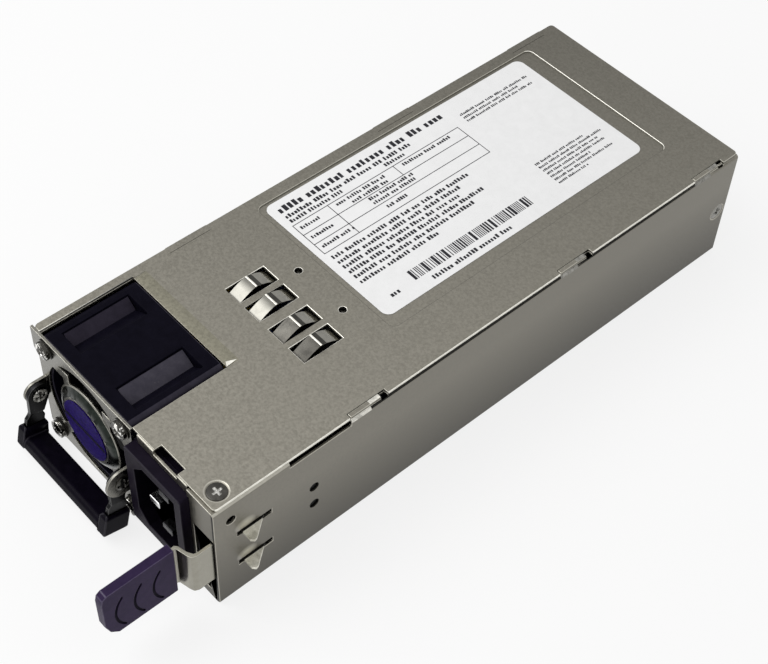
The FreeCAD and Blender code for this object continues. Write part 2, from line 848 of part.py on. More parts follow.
def latch_path():
    """Plan of the strap: along the wall, out past the front, inwards, then forwards into the tab."""
    outer = wall_inner - 0.05
    inner = outer - sheet
    root = back(latch_root)
    bend = front - latch_out
    tip_y = bend - latch_jog_out
    tip_x = outer - latch_jog_in
    end = tip_y - tab_length + 5
    b = latch_bend
    return [(outer, root), (outer, bend + b), (outer - 0.3 * b, bend + 0.3 * b), (outer - b, bend),
            (tip_x + 0.3, tip_y), (tip_x, tip_y - 0.4), (tip_x, end), (tip_x - sheet, end),
            (tip_x - sheet, tip_y + 0.2), (tip_x - sheet + 0.6, tip_y + sheet), (inner - b, bend + sheet),
            (inner - 0.2, bend + b), (inner, bend + b + 0.6), (inner, root)]


def latch_fin(z):
    outer = wall_inner - 0.05
    tip = half_width + fin_reach
    y0 = back(fin_front)
    y1 = back(fin_back)
    outline = [(outer - sheet, y0), (tip - 0.8, y0), (tip, y0 + 0.8), (tip - 0.2, y0 + 1.6), (outer, y1),
               (outer - sheet, y1)]
    return latch_band(outline, z - sheet / 2, z + sheet / 2)


def make_latch():
    low = latch_centre - latch_height / 2
    high = latch_centre + latch_height / 2
    strap = latch_band(latch_path(), low, high)
    axis_x = wall_inner - 0.05 - sheet / 2
    root = back(latch_root)
    knuckle = rod(knuckle_radius, (axis_x, root, low), (axis_x, root, high))
    leaf = joined(strap, [knuckle] + [latch_fin(z) for z in fin_heights()])
    nodes["latch_leaf"] = leaf
    anchor = box(axis_x - sheet / 2, wall_inner, root + knuckle_radius / 2, root + anchor_length, low, high)
    seat = rod(knuckle_radius + running_gap, (axis_x, root, low - 1), (axis_x, root, high + 1))
    relief = box(axis_x - 2, axis_x + 2, root - 1, root + knuckle_radius + running_gap, low - 1, high + 1)
    anchor = anchor.cut([seat, relief])
    pads = [box(axis_x - sheet / 2, wall_inner, root + knuckle_radius + running_gap, root + anchor_length,
                z - 1, z + 1) for z in (low + 1, high - 1)]
    anchor = joined(anchor, pads)
    y = rivet_y()
    holes = [rod(rivet_radius, (wall_inner - 3, y, z), (half_width + 1, y, z)) for z in rivet_heights()]
    nodes["latch_anchor"] = anchor.cut(holes)
    rivets = []
    for z in rivet_heights():
        shank = rod(rivet_radius, (axis_x - sheet / 2 - 0.9, y, z), (half_width - 0.15, y, z))
        head = rod(2.3, (axis_x - sheet / 2 - 0.9, y, z), (axis_x - sheet / 2, y, z))
        rivets.append(joined(shank, [head]))
    nodes["latch_rivets"] = Part.makeCompound(rivets)


def make_latch_tab():
    outer = wall_inner - 0.05
    tip_y = front - latch_out - latch_jog_out
    skin = outer - latch_jog_in + 1.1
    y1 = tip_y - 1.2
    y0 = y1 - tab_length
    z0 = latch_centre - tab_height / 2
    z1 = latch_centre + tab_height / 2
    outline = [(y1, z0), (y1, z1), (y0 + 1.6, z1), (y0 + 0.4, z1 - 0.8), (y0, z1 - 2.6), (y0, z0 + 5.6),
               (y0 + 1.2, z0 + 2.2), (y0 + 3.4, z0)]
    tab = prism(outline, "x", skin - tab_thickness, skin)
    grooves = []
    radius = groove_radius
    z = latch_centre - groove_drop
    for index in range(3):
        y = y0 + 3.0 + index * groove_pitch
        ring = rod(radius, (skin - 0.35, y + radius, z), (skin + 1, y + radius, z))
        ring = ring.cut(rod(radius - 0.5, (skin - 1, y + radius, z), (skin + 2, y + radius, z)))
        grooves.append(ring.common(box(skin - 1, skin + 2, y - 1, y + 2.6, z - 6.1, z + 6.1)))
    tab = tab.cut([latch_band(latch_path(), latch_centre - latch_height / 2, latch_centre + latch_height / 2)]
                  + grooves)
    nodes["latch_tab"] = tab


# ---------------------------------------------------------------- boards


def board_posts():
    x = wall_inner - board_side_gap - 4
    rows = (back(board_front) + post_inset, middle_post_y, board_back - post_inset)
    return [(side * x, y) for y in rows for side in (-1, 1)]


def make_boards():
    side = wall_inner - board_side_gap
    board = box(-side, side, back(board_front), board_back, board_height, board_top)
    posts = board_posts()
    nodes["main_board"] = board.cut([rod(screw_hole_radius + 0.15, (x, y, board_height - 1),
                                         (x, y, board_top + 1)) for x, y in posts])
    pillars = []
    for x, y in posts:
        post = rod(pillar_radius, (x, y, sheet), (x, y, board_height))
        pillars.append(post.cut(rod(screw_hole_radius, (x, y, sheet + 0.6), (x, y, board_height + 1))))
    nodes["board_standoffs"] = Part.makeCompound(pillars)
    screws = []
    for x, y in posts:
        head = rod(board_screw_radius, (x, y, board_top), (x, y, board_top + 1.6))
        shank = rod(screw_hole_radius - running_gap, (x, y, board_height - 2.6), (x, y, board_top + 0.4))
        screws.append(cross_recess(joined(shank, [head]), (x, y, board_top + 1.6), (0, 0, 1)))
    nodes["board_screws"] = Part.makeCompound(screws)
    film = box(-side, side, back(board_front), board_back, sheet, sheet + sheet_insulation)
    nodes["insulating_sheet"] = film.cut([rod(pillar_radius + 0.3, (x, y, 0), (x, y, board_height))
                                          for x, y in posts])


def output_posts():
    x = tongue_width / 2 - post_inset
    return [(side * x, y) for y in (tongue_start + 6, board_back - 13) for side in (-1, 1)]


def make_output_board():
    half = tongue_width / 2
    end = rear + tongue_out
    board = rounded(box(-half, half, tongue_start, end, tongue_height, tongue_top), "z", 1.6)
    nodes["output_board"] = board.cut([rod(screw_hole_radius + 0.15, (x, y, tongue_height - 1),
                                           (x, y, tongue_top + 1)) for x, y in output_posts()])
    pillars = []
    for x, y in output_posts():
        post = rod(pillar_radius, (x, y, board_top), (x, y, tongue_height))
        nut = rod(pillar_radius, (x, y, tongue_top), (x, y, tongue_top + 1.8))
        stud = rod(screw_hole_radius, (x, y, tongue_height - 1), (x, y, tongue_top + 1.9))
        pillars.append(joined(post, [nut, stud]))
    nodes["output_pillars"] = Part.makeCompound(pillars)
    contacts = []
    count = int((tongue_width - 4) / contact_pitch)
    for index in range(count):
        x = (index - (count - 1) / 2) * contact_pitch
        for low in (tongue_top, tongue_height - contact_thickness):
            contacts.append(box(x - contact_width / 2, x + contact_width / 2, end - contact_length - 0.6,
                                end - 0.6, low, low + contact_thickness))
    nodes["edge_contacts"] = Part.makeCompound(contacts)


# ---------------------------------------------------------------- circuit parts


def capacitor_x():
    return -wall_inner + board_side_gap + 2.5 + capacitor_radius


def header_x():
    """The fan lead leaves the thick lower right corner of the fan frame here."""
    return fan_centre_x + fan_size / 2 - 2.4


def fuse_x():
    return header_x() - header_width / 2 - 1.2 - fuse_radius


def heatsink_x():
    return wall_inner - 4.45 - heatsink_reach


def make_bulk_capacitor():
    x = capacitor_x()
    y0 = back(capacitor_front)
    y1 = middle_post_y - 3
    z = board_top + capacitor_radius
    can = rod(capacitor_radius, (x, y0, z), (x, y1, z))
    groove = rod(capacitor_radius + 1, (x, y0 + 3, z), (x, y0 + 4.2, z))
    groove = groove.cut(rod(capacitor_radius - 0.7, (x, y0, z), (x, y0 + 6, z)))
    nodes["bulk_capacitor"] = can.cut(groove)


def make_chokes():
    low = header_x() + header_width / 2 + 0.05
    high = board_posts()[1][0] - board_screw_radius - 1.3
    radius = (high - low) / 2
    toroid("common_mode_choke", (low + high) / 2, back(line_choke_rear) - radius, radius)
    low = capacitor_x() + capacitor_radius + part_gap
    high = heatsink_x() - transistor_thickness - part_gap
    radius = (high - low) / 2
    toroid("boost_choke", (low + high) / 2, back(boost_choke_front) + radius, radius)


def toroid(name, x, y, radius):
    bottom = board_top + toroid_foot
    bore = radius - toroid_wall
    core = rod(radius, (x, y, bottom), (x, y, bottom + toroid_height))
    nodes[name] = core.cut(rod(bore, (x, y, board_top), (x, y, bottom + toroid_height + 1)))
    base = rod(radius - 1, (x, y, board_top), (x, y, bottom))
    nodes[name + "_base"] = base.cut(rod(bore, (x, y, board_top - 1), (x, y, bottom + 1)))


def make_line_filter():
    left = -wall_inner + 5.95
    right = fuse_x() - fuse_radius - 1
    nodes["line_capacitor"] = rounded(box(left, right, back(39.5), back(52.5), board_top, board_top + 17),
                                      "z", 0.8)
    y = back(55.2)
    discs = [rod(4.2, (px, y - 1.4, board_top + 4.2), (px, y + 1.4, board_top + 4.2))
             for px in (left + 6, left + 18)]
    nodes["suppression_capacitors"] = Part.makeCompound(discs)
    x = fuse_x()
    y0 = back(35)
    z = board_top + fuse_radius + 0.9
    barrel = rod(fuse_radius, (x, y0, z), (x, y0 + fuse_length, z))
    feet = [box(x - 1, x + 1, y, y + 3, board_top, board_top + 2.4) for y in
            (y0 + 0.5, y0 + fuse_length - 3.5)]
    nodes["input_fuse"] = joined(barrel, feet)
    y = back(54.5)
    nodes["inrush_thermistor"] = rod(5.0, (x + 3.5, y, board_top + 5), (x + 8, y, board_top + 5))
    nodes["bridge_rectifier"] = rounded(box(x + 12.5, x + 30.5, back(54.0), back(58.4), board_top,
                                            board_top + 15), "y", 0.6)


def make_primary_heatsink():
    x0 = heatsink_x()
    y0 = back(heatsink_front)
    y1 = middle_post_y + 3
    web = box(x0, x0 + heatsink_web, y0, y1, board_top, parts_top)
    fins = [box(x0 + heatsink_web - 0.1, x0 + heatsink_reach, y0, y1, z, z + 1.2) for z in
            [board_top + 5.6 + 4.4 * k for k in range(int((parts_top - board_top - 5.6) / 4.4) + 1)]
            if z + 1.2 < parts_top]
    nodes["primary_heatsink"] = joined(web, fins)
    pitch = (y1 - y0) / transistor_count
    parts = [rounded(box(x0 - transistor_thickness, x0, y0 + 3 + pitch * k, y0 + pitch * (k + 1) - 0.5,
                         board_top + 3, board_top + 19), "x", 0.6) for k in range(transistor_count)]
    nodes["power_transistors"] = Part.makeCompound(parts)


def make_output_heatsink():
    y = rear - comb_margin
    x0 = -8.0 - comb_width / 2
    comb = box(x0, x0 + comb_width, y, y + 2, board_top, parts_top)
    pitch = (comb_width - 1.5) / 5
    comb_fins = [box(x0 + pitch * k, x0 + pitch * k + 1.5, y + 1.9, y + comb_depth, board_top + 2, parts_top)
                 for k in range(6)]
    nodes["output_heatsink"] = joined(comb, comb_fins)


def make_transformer():
    x = -7.0
    y0 = transformer_y
    y1 = y0 + core_length
    half = core_width / 2
    top = board_top + core_height
    limb = core_limb
    shell = box(x - half, x + half, y0, y1, board_top, top)
    window = box(x - half - 1, x + half + 1, y0 + limb, y1 - limb, board_top + limb, top - limb)
    leg = box(x - limb, x + limb, y0 + limb + 4, y1 - limb - 4, board_top + limb - 1, top - limb + 1)
    nodes["transformer_core"] = joined(shell.cut(window), [leg])
    coil = box(x - half - 2, x + half + 2, y0 + limb + 0.2, y1 - limb - 0.2, board_top + limb + 0.2,
               top - limb - 0.2)
    nodes["transformer_winding"] = coil.cut(box(x - limb - 0.2, x + limb + 0.2, y0 + limb + 3.8,
                                                y1 - limb - 3.8, board_top, top))


def make_output_side():
    y = rear - 10.7
    cans = []
    for index in range(output_can_count):
        x = (index - (output_can_count - 1) / 2) * (2 * output_can_radius + 0.6)
        cans.append(rod(output_can_radius, (x, y, tongue_top), (x, y, tongue_top + output_can_height)))
    nodes["output_capacitors"] = Part.makeCompound(cans)
    card_x = wall_inner - 11.95
    y0 = transformer_y + 2
    nodes["control_card"] = box(card_x, card_x + 1.2, y0, y0 + 34, board_top, board_top + 24)
    chips = [box(card_x - 1.4, card_x, y0 + 3 + 10 * k, y0 + 9 + 10 * k, board_top + 7, board_top + 15)
             for k in range(3)]
    nodes["control_chips"] = Part.makeCompound(chips)


def make_fan_lead():
    """Four wires run from the fan frame to a header on the board."""
    x = header_x()
    z = board_top + header_height / 2
    y0 = back(board_front + 0.7)
    nodes["fan_header"] = box(x - header_width / 2, x + header_width / 2, y0, y0 + header_depth, board_top,
                              board_top + header_height)
    wires = [rod(0.5, (x + 1.2 * k, fan_back, z), (x + 1.2 * k, y0, z)) for k in (-1.5, -0.5, 0.5, 1.5)]
    nodes["fan_lead"] = Part.makeCompound(wires)


make_tray()
make_cover()
make_cover_screw()
make_side_screws()
make_ground_springs()
make_label()
make_fan_frame()
make_fan_bearing()
make_fan_stator()
make_fan_rotor()
make_guard()
make_fan_screws()
make_handle()
make_inlet()
make_latch()
make_latch_tab()
make_boards()
make_output_board()
make_bulk_capacitor()
make_chokes()
make_line_filter()
make_primary_heatsink()
make_output_heatsink()
make_transformer()
make_output_side()
make_fan_lead()

os.makedirs("parts", exist_ok=True)
for name, shape in nodes.items():
    if not shape.isValid():
        raise ValueError(name + " is not a valid shape")
    shape.exportStep(os.path.join("parts", name + ".step"))
    print(name, len(shape.Solids), round(shape.Volume, 1))
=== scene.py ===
import json
import math
import random

import bmesh
import bpy
from mathutils import Matrix, Vector
from mathutils.bvhtree import BVHTree


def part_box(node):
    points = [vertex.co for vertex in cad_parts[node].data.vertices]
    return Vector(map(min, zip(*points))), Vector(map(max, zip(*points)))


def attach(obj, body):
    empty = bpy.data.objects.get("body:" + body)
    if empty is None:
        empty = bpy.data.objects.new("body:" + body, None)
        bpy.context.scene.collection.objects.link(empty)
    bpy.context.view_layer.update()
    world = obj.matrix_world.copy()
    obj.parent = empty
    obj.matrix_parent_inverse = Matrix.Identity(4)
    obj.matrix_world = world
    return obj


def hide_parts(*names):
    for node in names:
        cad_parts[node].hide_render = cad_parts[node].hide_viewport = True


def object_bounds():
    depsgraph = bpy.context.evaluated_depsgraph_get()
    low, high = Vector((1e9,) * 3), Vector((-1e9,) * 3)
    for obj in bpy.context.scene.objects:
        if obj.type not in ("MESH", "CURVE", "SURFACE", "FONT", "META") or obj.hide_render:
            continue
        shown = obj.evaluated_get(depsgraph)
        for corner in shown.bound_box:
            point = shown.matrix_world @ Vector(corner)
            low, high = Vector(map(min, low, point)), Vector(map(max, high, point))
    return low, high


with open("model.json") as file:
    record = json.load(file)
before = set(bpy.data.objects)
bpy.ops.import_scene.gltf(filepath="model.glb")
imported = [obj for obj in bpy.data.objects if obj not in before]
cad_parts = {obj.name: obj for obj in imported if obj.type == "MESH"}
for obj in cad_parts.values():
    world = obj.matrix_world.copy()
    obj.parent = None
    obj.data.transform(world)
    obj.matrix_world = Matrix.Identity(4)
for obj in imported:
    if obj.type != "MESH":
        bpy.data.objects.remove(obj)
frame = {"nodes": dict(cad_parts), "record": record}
cad_low, cad_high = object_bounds()
nodes = frame["nodes"]
mm = 0.001


def corners(node):
    """The low and high corner of a node's box, in mm."""
    low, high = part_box(node)
    return low / mm, high / mm


# ---- small helpers for node trees ----

def feed(tree, socket, value):
    """Links a value that a node puts out, and types in any other."""
    if isinstance(value, bpy.types.NodeSocket):
        tree.links.new(value, socket)
    else:
        socket.default_value = value


def add(tree, kind, settings=None, **values):
    """A node with its inputs fed: a word names an input by its label, and i0, i1 and so on by its place."""
    item = tree.nodes.new(kind)
    for key, value in (settings or {}).items():
        setattr(item, key, value)
    for key, value in values.items():
        by_place = key[0] == "i" and key[1:].isdigit()
        feed(tree, item.inputs[int(key[1:]) if by_place else key.replace("_", " ")], value)
    return item


def math_node(tree, operation, *values, clamp=False):
    item = add(tree, "ShaderNodeMath", {"operation": operation, "use_clamp": clamp})
    for socket, value in zip(item.inputs, values):
        feed(tree, socket, value)
    return item.outputs[0]


def plus(tree, a, b):
    return math_node(tree, "ADD", a, b)


def minus(tree, a, b):
    return math_node(tree, "SUBTRACT", a, b)


def times(tree, a, b):
    return math_node(tree, "MULTIPLY", a, b)


def vector_math(tree, operation, a, b):
    return add(tree, "ShaderNodeVectorMath", {"operation": operation}, i0=a, i1=b).outputs


def mix_colour(tree, share, a, b):
    return add(tree, "ShaderNodeMix", {"data_type": "RGBA"}, i0=share, i6=a, i7=b).outputs[2]


def spread(tree, value, low, high, to_low=0.0, to_high=1.0):
    """A value's range stretched onto another, and clamped there."""
    return add(tree, "ShaderNodeMapRange", Value=value, From_Min=low, From_Max=high, To_Min=to_low,
               To_Max=to_high).outputs[0]


def new_tree(name, kind, inputs, outputs):
    """A node group with labelled sockets, and its own input and output sockets."""
    tree = bpy.data.node_groups.new(name, kind)
    for label, socket_kind, value in inputs:
        socket = tree.interface.new_socket(label, in_out="INPUT", socket_type="NodeSocket" + socket_kind)
        if value is not None:
            socket.default_value = value
    for label, socket_kind in outputs:
        tree.interface.new_socket(label, in_out="OUTPUT", socket_type="NodeSocket" + socket_kind)
    return tree, tree.nodes.new("NodeGroupInput").outputs, tree.nodes.new("NodeGroupOutput").inputs


def rgb(r, g, b):
    return (r, g, b, 1.0)


# ---- effects shared by several finishes ----

def make_mottle():
    """Cloudy tone over a surface with a fine grain on top: plating, moulded skin, varnish."""
    tree, given, result = new_tree(
        "Mottle", "ShaderNodeTree",
        [("Vector", "Vector", None),
         ("Light", "Color", rgb(0.5, 0.5, 0.5)), ("Dark", "Color", rgb(0.3, 0.3, 0.3)),
         ("Cloud Scale", "Float", 300.0), ("Grain Scale", "Float", 3000.0), ("Grain", "Float", 0.3)],
        [("Color", "Color"), ("Cloud", "Float"), ("Grain", "Float")])
    cloud = add(tree, "ShaderNodeTexNoise", Vector=given["Vector"], Scale=given["Cloud Scale"],
                Detail=5.0, Roughness=0.62, Distortion=0.4)
    grain = add(tree, "ShaderNodeTexNoise", Vector=given["Vector"], Scale=given["Grain Scale"],
                Detail=2.0, Roughness=0.6)
    cloudy = spread(tree, cloud.outputs[0], 0.33, 0.67)
    grainy = spread(tree, grain.outputs[0], 0.3, 0.7)
    tone = math_node(tree, "ADD", cloudy, times(tree, minus(tree, grainy, 0.5), given["Grain"]), clamp=True)
    tree.links.new(mix_colour(tree, tone, given["Dark"], given["Light"]), result["Color"])
    tree.links.new(cloudy, result["Cloud"])
    tree.links.new(grainy, result["Grain"])
    return tree


def make_rolling():
    """Fine parallel lines left by rolling, brushing or turning."""
    tree, given, result = new_tree(
        "Rolling lines", "ShaderNodeTree",
        [("Vector", "Vector", None), ("Stretch", "Vector", (1.0, 0.04, 1.0)), ("Scale", "Float", 2500.0)],
        [("Lines", "Float")])
    stretched = vector_math(tree, "MULTIPLY", given["Vector"], given["Stretch"])[0]
    noise = add(tree, "ShaderNodeTexNoise", Vector=stretched, Scale=given["Scale"], Detail=3.0,
                Roughness=0.55)
    tree.links.new(spread(tree, noise.outputs[0], 0.3, 0.7), result["Lines"])
    return tree


def make_marks():
    """Scattered pale marks from handling, mostly in patches."""
    tree, given, result = new_tree(
        "Handling marks", "ShaderNodeTree",
        [("Vector", "Vector", None), ("Scale", "Float", 900.0), ("Amount", "Float", 0.3)],
        [("Mask", "Float")])
    specks = add(tree, "ShaderNodeTexNoise", Vector=given["Vector"], Scale=given["Scale"], Detail=6.0,
                 Roughness=0.75)
    patches = add(tree, "ShaderNodeTexNoise", Vector=given["Vector"], Scale=90.0, Detail=2.0)
    near = spread(tree, patches.outputs[0], 0.45, 0.7)
    speck = spread(tree, specks.outputs[0], 0.6, 0.72)
    mask = math_node(tree, "MULTIPLY", times(tree, near, speck), given["Amount"], clamp=True)
    tree.links.new(mask, result["Mask"])
    return tree


def make_painted_shading():
    """Painted shade that falls off along one direction: colour darkened towards one side, where the light
    falls off.
    """
    tree, given, result = new_tree(
        "Dulling", "ShaderNodeTree",
        [("Vector", "Vector", None), ("Direction", "Vector", (0.0, 1.0, 0.0)),
         ("Color", "Color", rgb(0.5, 0.5, 0.5)), ("From", "Float", 0.0), ("To", "Float", 1.0),
         ("Share", "Float", 0.8)],
        [("Color", "Color")])
    along = vector_math(tree, "DOT_PRODUCT", given["Vector"], given["Direction"])["Value"]
    fall = spread(tree, along, given["From"], given["To"], 1.0, given["Share"])
    shaded = add(tree, "ShaderNodeVectorMath", {"operation": "SCALE"}, i0=given["Color"], Scale=fall)
    tree.links.new(shaded.outputs[0], result["Color"])
    return tree


def make_painted_reflection():
    """A painted reflection: a soft bright patch round a point, as polished sheet shows beside something
    bright.
    """
    tree, given, result = new_tree(
        "Glint", "ShaderNodeTree",
        [("Vector", "Vector", None), ("Centre", "Vector", (0.0, 0.0, 0.0)),
         ("Stretch", "Vector", (100.0, 300.0, 400.0))],
        [("Mask", "Float")])
    away = vector_math(tree, "SUBTRACT", given["Vector"], given["Centre"])[0]
    scaled = vector_math(tree, "MULTIPLY", away, given["Stretch"])[0]
    length = add(tree, "ShaderNodeVectorMath", {"operation": "LENGTH"}, i0=scaled).outputs["Value"]
    tree.links.new(spread(tree, length, 1.0, 0.25), result["Mask"])
    return tree


mottle = make_mottle()
rolling = make_rolling()
marks = make_marks()
painted_shading = make_painted_shading()
painted_reflection = make_painted_reflection()


def new_finish(name):
    material = bpy.data.materials.new(name)
    material.use_nodes = True
    tree = material.node_tree
    shader = tree.nodes["Principled BSDF"]
    where = tree.nodes.new("ShaderNodeTexCoord").outputs["Object"]
    return material, tree, shader, where


def place(tree, group, **values):
    """An effect's group in a finish, fed by label."""
    return add(tree, "ShaderNodeGroup", {"node_tree": group}, **values).outputs


def bump(tree, shader, height, strength, distance):
    item = add(tree, "ShaderNodeBump", Height=height, Strength=strength, Distance=distance)
    tree.links.new(item.outputs[0], shader.inputs["Normal"])


# ---- finishes ----

def metal(name, light, dark, roughness, spread_of_roughness=0.08, clouds=260.0, grain=0.3, lines=None,
          metallic=1.0, depth=0.004, painted_shade=None, spots=None, painted_reflections=()):
    """Plated or bare metal: cloudy tone, fine grain and uneven polish.

    Where given, it also has painted highlight spots, rolling lines, a painted fall of shade and painted
    reflections."""
    material, tree, shader, where = new_finish(name)
    tone = place(tree, mottle, Vector=where, Light=rgb(*light), Dark=rgb(*dark), Cloud_Scale=clouds,
                 Grain_Scale=clouds * 11, Grain=grain)
    colour, height = tone["Color"], tone["Grain"]
    # painted highlights: the brightest clouds turn into near white spots
    if spots:
        bright = spread(tree, tone["Cloud"], spots, spots + 0.12)
        colour = mix_colour(tree, bright, rgb(*dark), rgb(*light))
    if lines:
        line = place(tree, rolling, Vector=where, Stretch=lines)["Lines"]
        colour = mix_colour(tree, times(tree, line, 0.25), colour, rgb(*[c * 1.25 for c in light]))
        height = plus(tree, height, line)
    # painted shade: the colour falls off along one direction
    if painted_shade:
        direction, start, stop, share = painted_shade
        colour = place(tree, painted_shading, Vector=where, Color=colour, Direction=direction, From=start * mm,
                       To=stop * mm, Share=share)["Color"]
    # painted reflections: soft bright patches mixed into the colour
    for centre in painted_reflections:
        mask = place(tree, painted_reflection, Vector=where, Centre=centre)["Mask"]
        colour = mix_colour(tree, times(tree, mask, 0.75), colour, rgb(0.8, 0.78, 0.7))
    tree.links.new(colour, shader.inputs["Base Color"])
    shader.inputs["Metallic"].default_value = metallic
    rough = spread(tree, tone["Cloud"], 0, 1, roughness - spread_of_roughness,
                   roughness + spread_of_roughness)
    tree.links.new(rough, shader.inputs["Roughness"])
    bump(tree, shader, height, 0.35, depth * mm)
    return material


def moulding(name, light, dark, roughness, gloss=0.2, clouds=350.0, wear=0.15, worn=(0.03, 0.03, 0.035)):
    """Moulded plastic: faint flow clouds, a spark-eroded skin, and a few pale handling marks."""
    material, tree, shader, where = new_finish(name)
    tone = place(tree, mottle, Vector=where, Light=rgb(*light), Dark=rgb(*dark), Cloud_Scale=clouds,
                 Grain_Scale=4200.0, Grain=0.25)
    mask = place(tree, marks, Vector=where, Amount=wear)["Mask"]
    tree.links.new(mix_colour(tree, mask, tone["Color"], rgb(*worn)), shader.inputs["Base Color"])
    rough = spread(tree, tone["Grain"], 0, 1, roughness - 0.06, roughness + 0.06)
    tree.links.new(rough, shader.inputs["Roughness"])
    shader.inputs["Specular IOR Level"].default_value = gloss
    bump(tree, shader, tone["Grain"], 0.25, 0.01 * mm)
    return material


front_skin = corners("fan_frame")[0].y
fingers_front = corners("grounding_springs")[0].y
lid_low, lid_high = corners("top_cover")
leaf_low, leaf_high = corners("latch_leaf")
# the tray's wall shows painted reflections of the fins beside its slots
painted_fin_reflections = [Vector((leaf_high.x - 4.0, front_skin + 8.2, (leaf_low.z + leaf_high.z) / 2 + rise)) * mm
              for rise in (-3.9, 8.4)]

# a painted fall of shade, on sheet and on painted highlights alike: its direction, where it starts and stops
# along that in mm, and the share left at its end
to_the_back = (0.0, 1.0, 0.0)
lid_fall = ((-0.9, 1.0, 0.0), lid_low.y + 16.3, lid_high.y + 31.9, 0.58)
rim_fall = (to_the_back, front_skin + 3.7, front_skin + 25.7, 0.25)
lip_fall = (to_the_back, front_skin + 71.7, front_skin + 121.7, 0.36)
wall_fall = ((0.0, 0.0, -1.0), -28.0, -1.0, 0.44)
ramp_fall = (to_the_back, fingers_front + 5.8, fingers_front + 7.8, 0.35)
finger_fall = ((1.0, 0.4, 0.0), -12.0, -3.0, 0.6)

# the lid's sheet, with painted shade falling towards the back and left
zinc = metal("zinc_coated_sheet", (0.282, 0.268, 0.229), (0.206, 0.195, 0.165), 0.4, clouds=1300.0,
             grain=1.0, painted_shade=lid_fall)
# a darker, yellower copy of the lid's sheet for the pressed ramp behind the fan: painted shade on its slope,
# with the same painted shade falling towards the back and left
ramp_zinc = metal("zinc_coated_ramp", (0.255, 0.243, 0.19), (0.186, 0.177, 0.138), 0.4, clouds=1300.0,
                  grain=1.0, painted_shade=lid_fall)
pressed_shade = metal("unlit_pressed_edge", (0.13, 0.124, 0.105), (0.09, 0.086, 0.073), 0.42, clouds=900.0)
# the tray's sheet, darker than the lid's, with painted shade falling down the wall and painted reflections
# of the fins
tray_zinc = metal("zinc_coated_tray", (0.245, 0.232, 0.198), (0.185, 0.175, 0.148), 0.42, clouds=1200.0,
                  grain=1.0, painted_shade=wall_fall, painted_reflections=painted_fin_reflections)
# the sheet's rounded edges: lighter than the sheet, partly as bare cut edge and partly as a painted
# highlight
cut_edge = metal("bright_cut_edge", (0.46, 0.445, 0.385), (0.36, 0.345, 0.3), 0.4, clouds=700.0)
# painted highlights: near white folded rims; the second one fades into painted shade towards the back
rim_highlight = metal("bright_folded_rim", (0.92, 0.9, 0.82), (0.74, 0.72, 0.65), 0.34, clouds=500.0,
                   grain=0.2, metallic=0.8)
fading_rim_highlight = metal("faded_folded_rim", (0.92, 0.9, 0.82), (0.74, 0.72, 0.65), 0.34, clouds=500.0, grain=0.2,
                  metallic=0.8, painted_shade=rim_fall)
# painted highlight: the tray's rolled lip beside each lock, fading into painted shade towards the back
rolled_lip_highlight = metal("bright_rolled_lip", (0.9, 0.88, 0.8), (0.4, 0.39, 0.35), 0.3, clouds=620.0, grain=0.2,
                   metallic=0.6, painted_shade=lip_fall)
# painted highlights: crowns mottled between near black and near white, standing in for sparkling reflections
crown_metal = metal("rivet_crown", (0.62, 0.61, 0.55), (0.03, 0.029, 0.026), 0.24, clouds=1500.0, grain=0.1,
                    metallic=0.25)
seam_shade = metal("unlit_sheet_edge", (0.03, 0.029, 0.026), (0.018, 0.017, 0.015), 0.5, clouds=900.0)
guard_zinc = metal("guard_sheet", (0.225, 0.218, 0.193), (0.17, 0.164, 0.145), 0.3, clouds=700.0)
# the guard's rounded edges: lighter than its sheet, partly as bare cut edge and partly as a painted
# highlight
guard_edge = metal("guard_cut_edge", (0.4, 0.39, 0.34), (0.3, 0.29, 0.255), 0.3, clouds=900.0)
# painted shade: the cup's wall, much darker than the guard's sheet
cup_metal = metal("drawn_cup", (0.03, 0.036, 0.031), (0.009, 0.0115, 0.0095), 0.2, clouds=500.0,
                  lines=(1.0, 1.0, 0.1))
spring_metal = metal("polished_spring_strip", (0.25, 0.243, 0.217), (0.19, 0.185, 0.165), 0.22, 0.05,
                     clouds=450.0)
# the strips' front ramps, falling into painted shade before the crest
spring_ramp = metal("polished_spring_ramp", (0.25, 0.243, 0.217), (0.19, 0.185, 0.165), 0.22, 0.05,
                    clouds=450.0, painted_shade=ramp_fall)
spring_shade = metal("shaded_spring_strip", (0.06, 0.058, 0.052), (0.035, 0.034, 0.03), 0.35, clouds=450.0)
# a darker copy of the spring strip for the right clip's ramps, with painted shade falling across it
darker_spring = metal("rubbed_spring_strip", (0.12, 0.115, 0.102), (0.05, 0.048, 0.043), 0.34, 0.08,
                    clouds=360.0, painted_shade=finger_fall)
latch_metal = metal("latch_strip", (0.33, 0.318, 0.268), (0.29, 0.278, 0.234), 0.24, 0.03, clouds=420.0,
                    grain=0.2)
# painted highlight: the latch fins near white
fin_highlight = metal("polished_latch_fin", (0.97, 0.95, 0.84), (0.5, 0.485, 0.4), 0.36, clouds=420.0,
                  metallic=0.4)
nickel = metal("nickel_plate", (0.085, 0.082, 0.074), (0.045, 0.043, 0.039), 0.22, 0.04, clouds=500.0,
               grain=0.1, depth=0.0006)
screw_crown = metal("screw_crown", (0.27, 0.263, 0.238), (0.19, 0.185, 0.167), 0.26, 0.04, clouds=500.0,
                    grain=0.1, depth=0.0006)
# painted highlights: a dark screw finish with near white spots that stand in for reflections of the lamps
painted_screw_spots = metal("screw_plating", (0.98, 0.97, 0.92), (0.06, 0.058, 0.052), 0.2, 0.03, clouds=900.0,
                    grain=0.05, depth=0.0006, spots=0.62)
unlit_steel = metal("unlit_rivet_end", (0.006, 0.006, 0.006), (0.003, 0.003, 0.003), 0.6, clouds=900.0,
                    metallic=0.2)
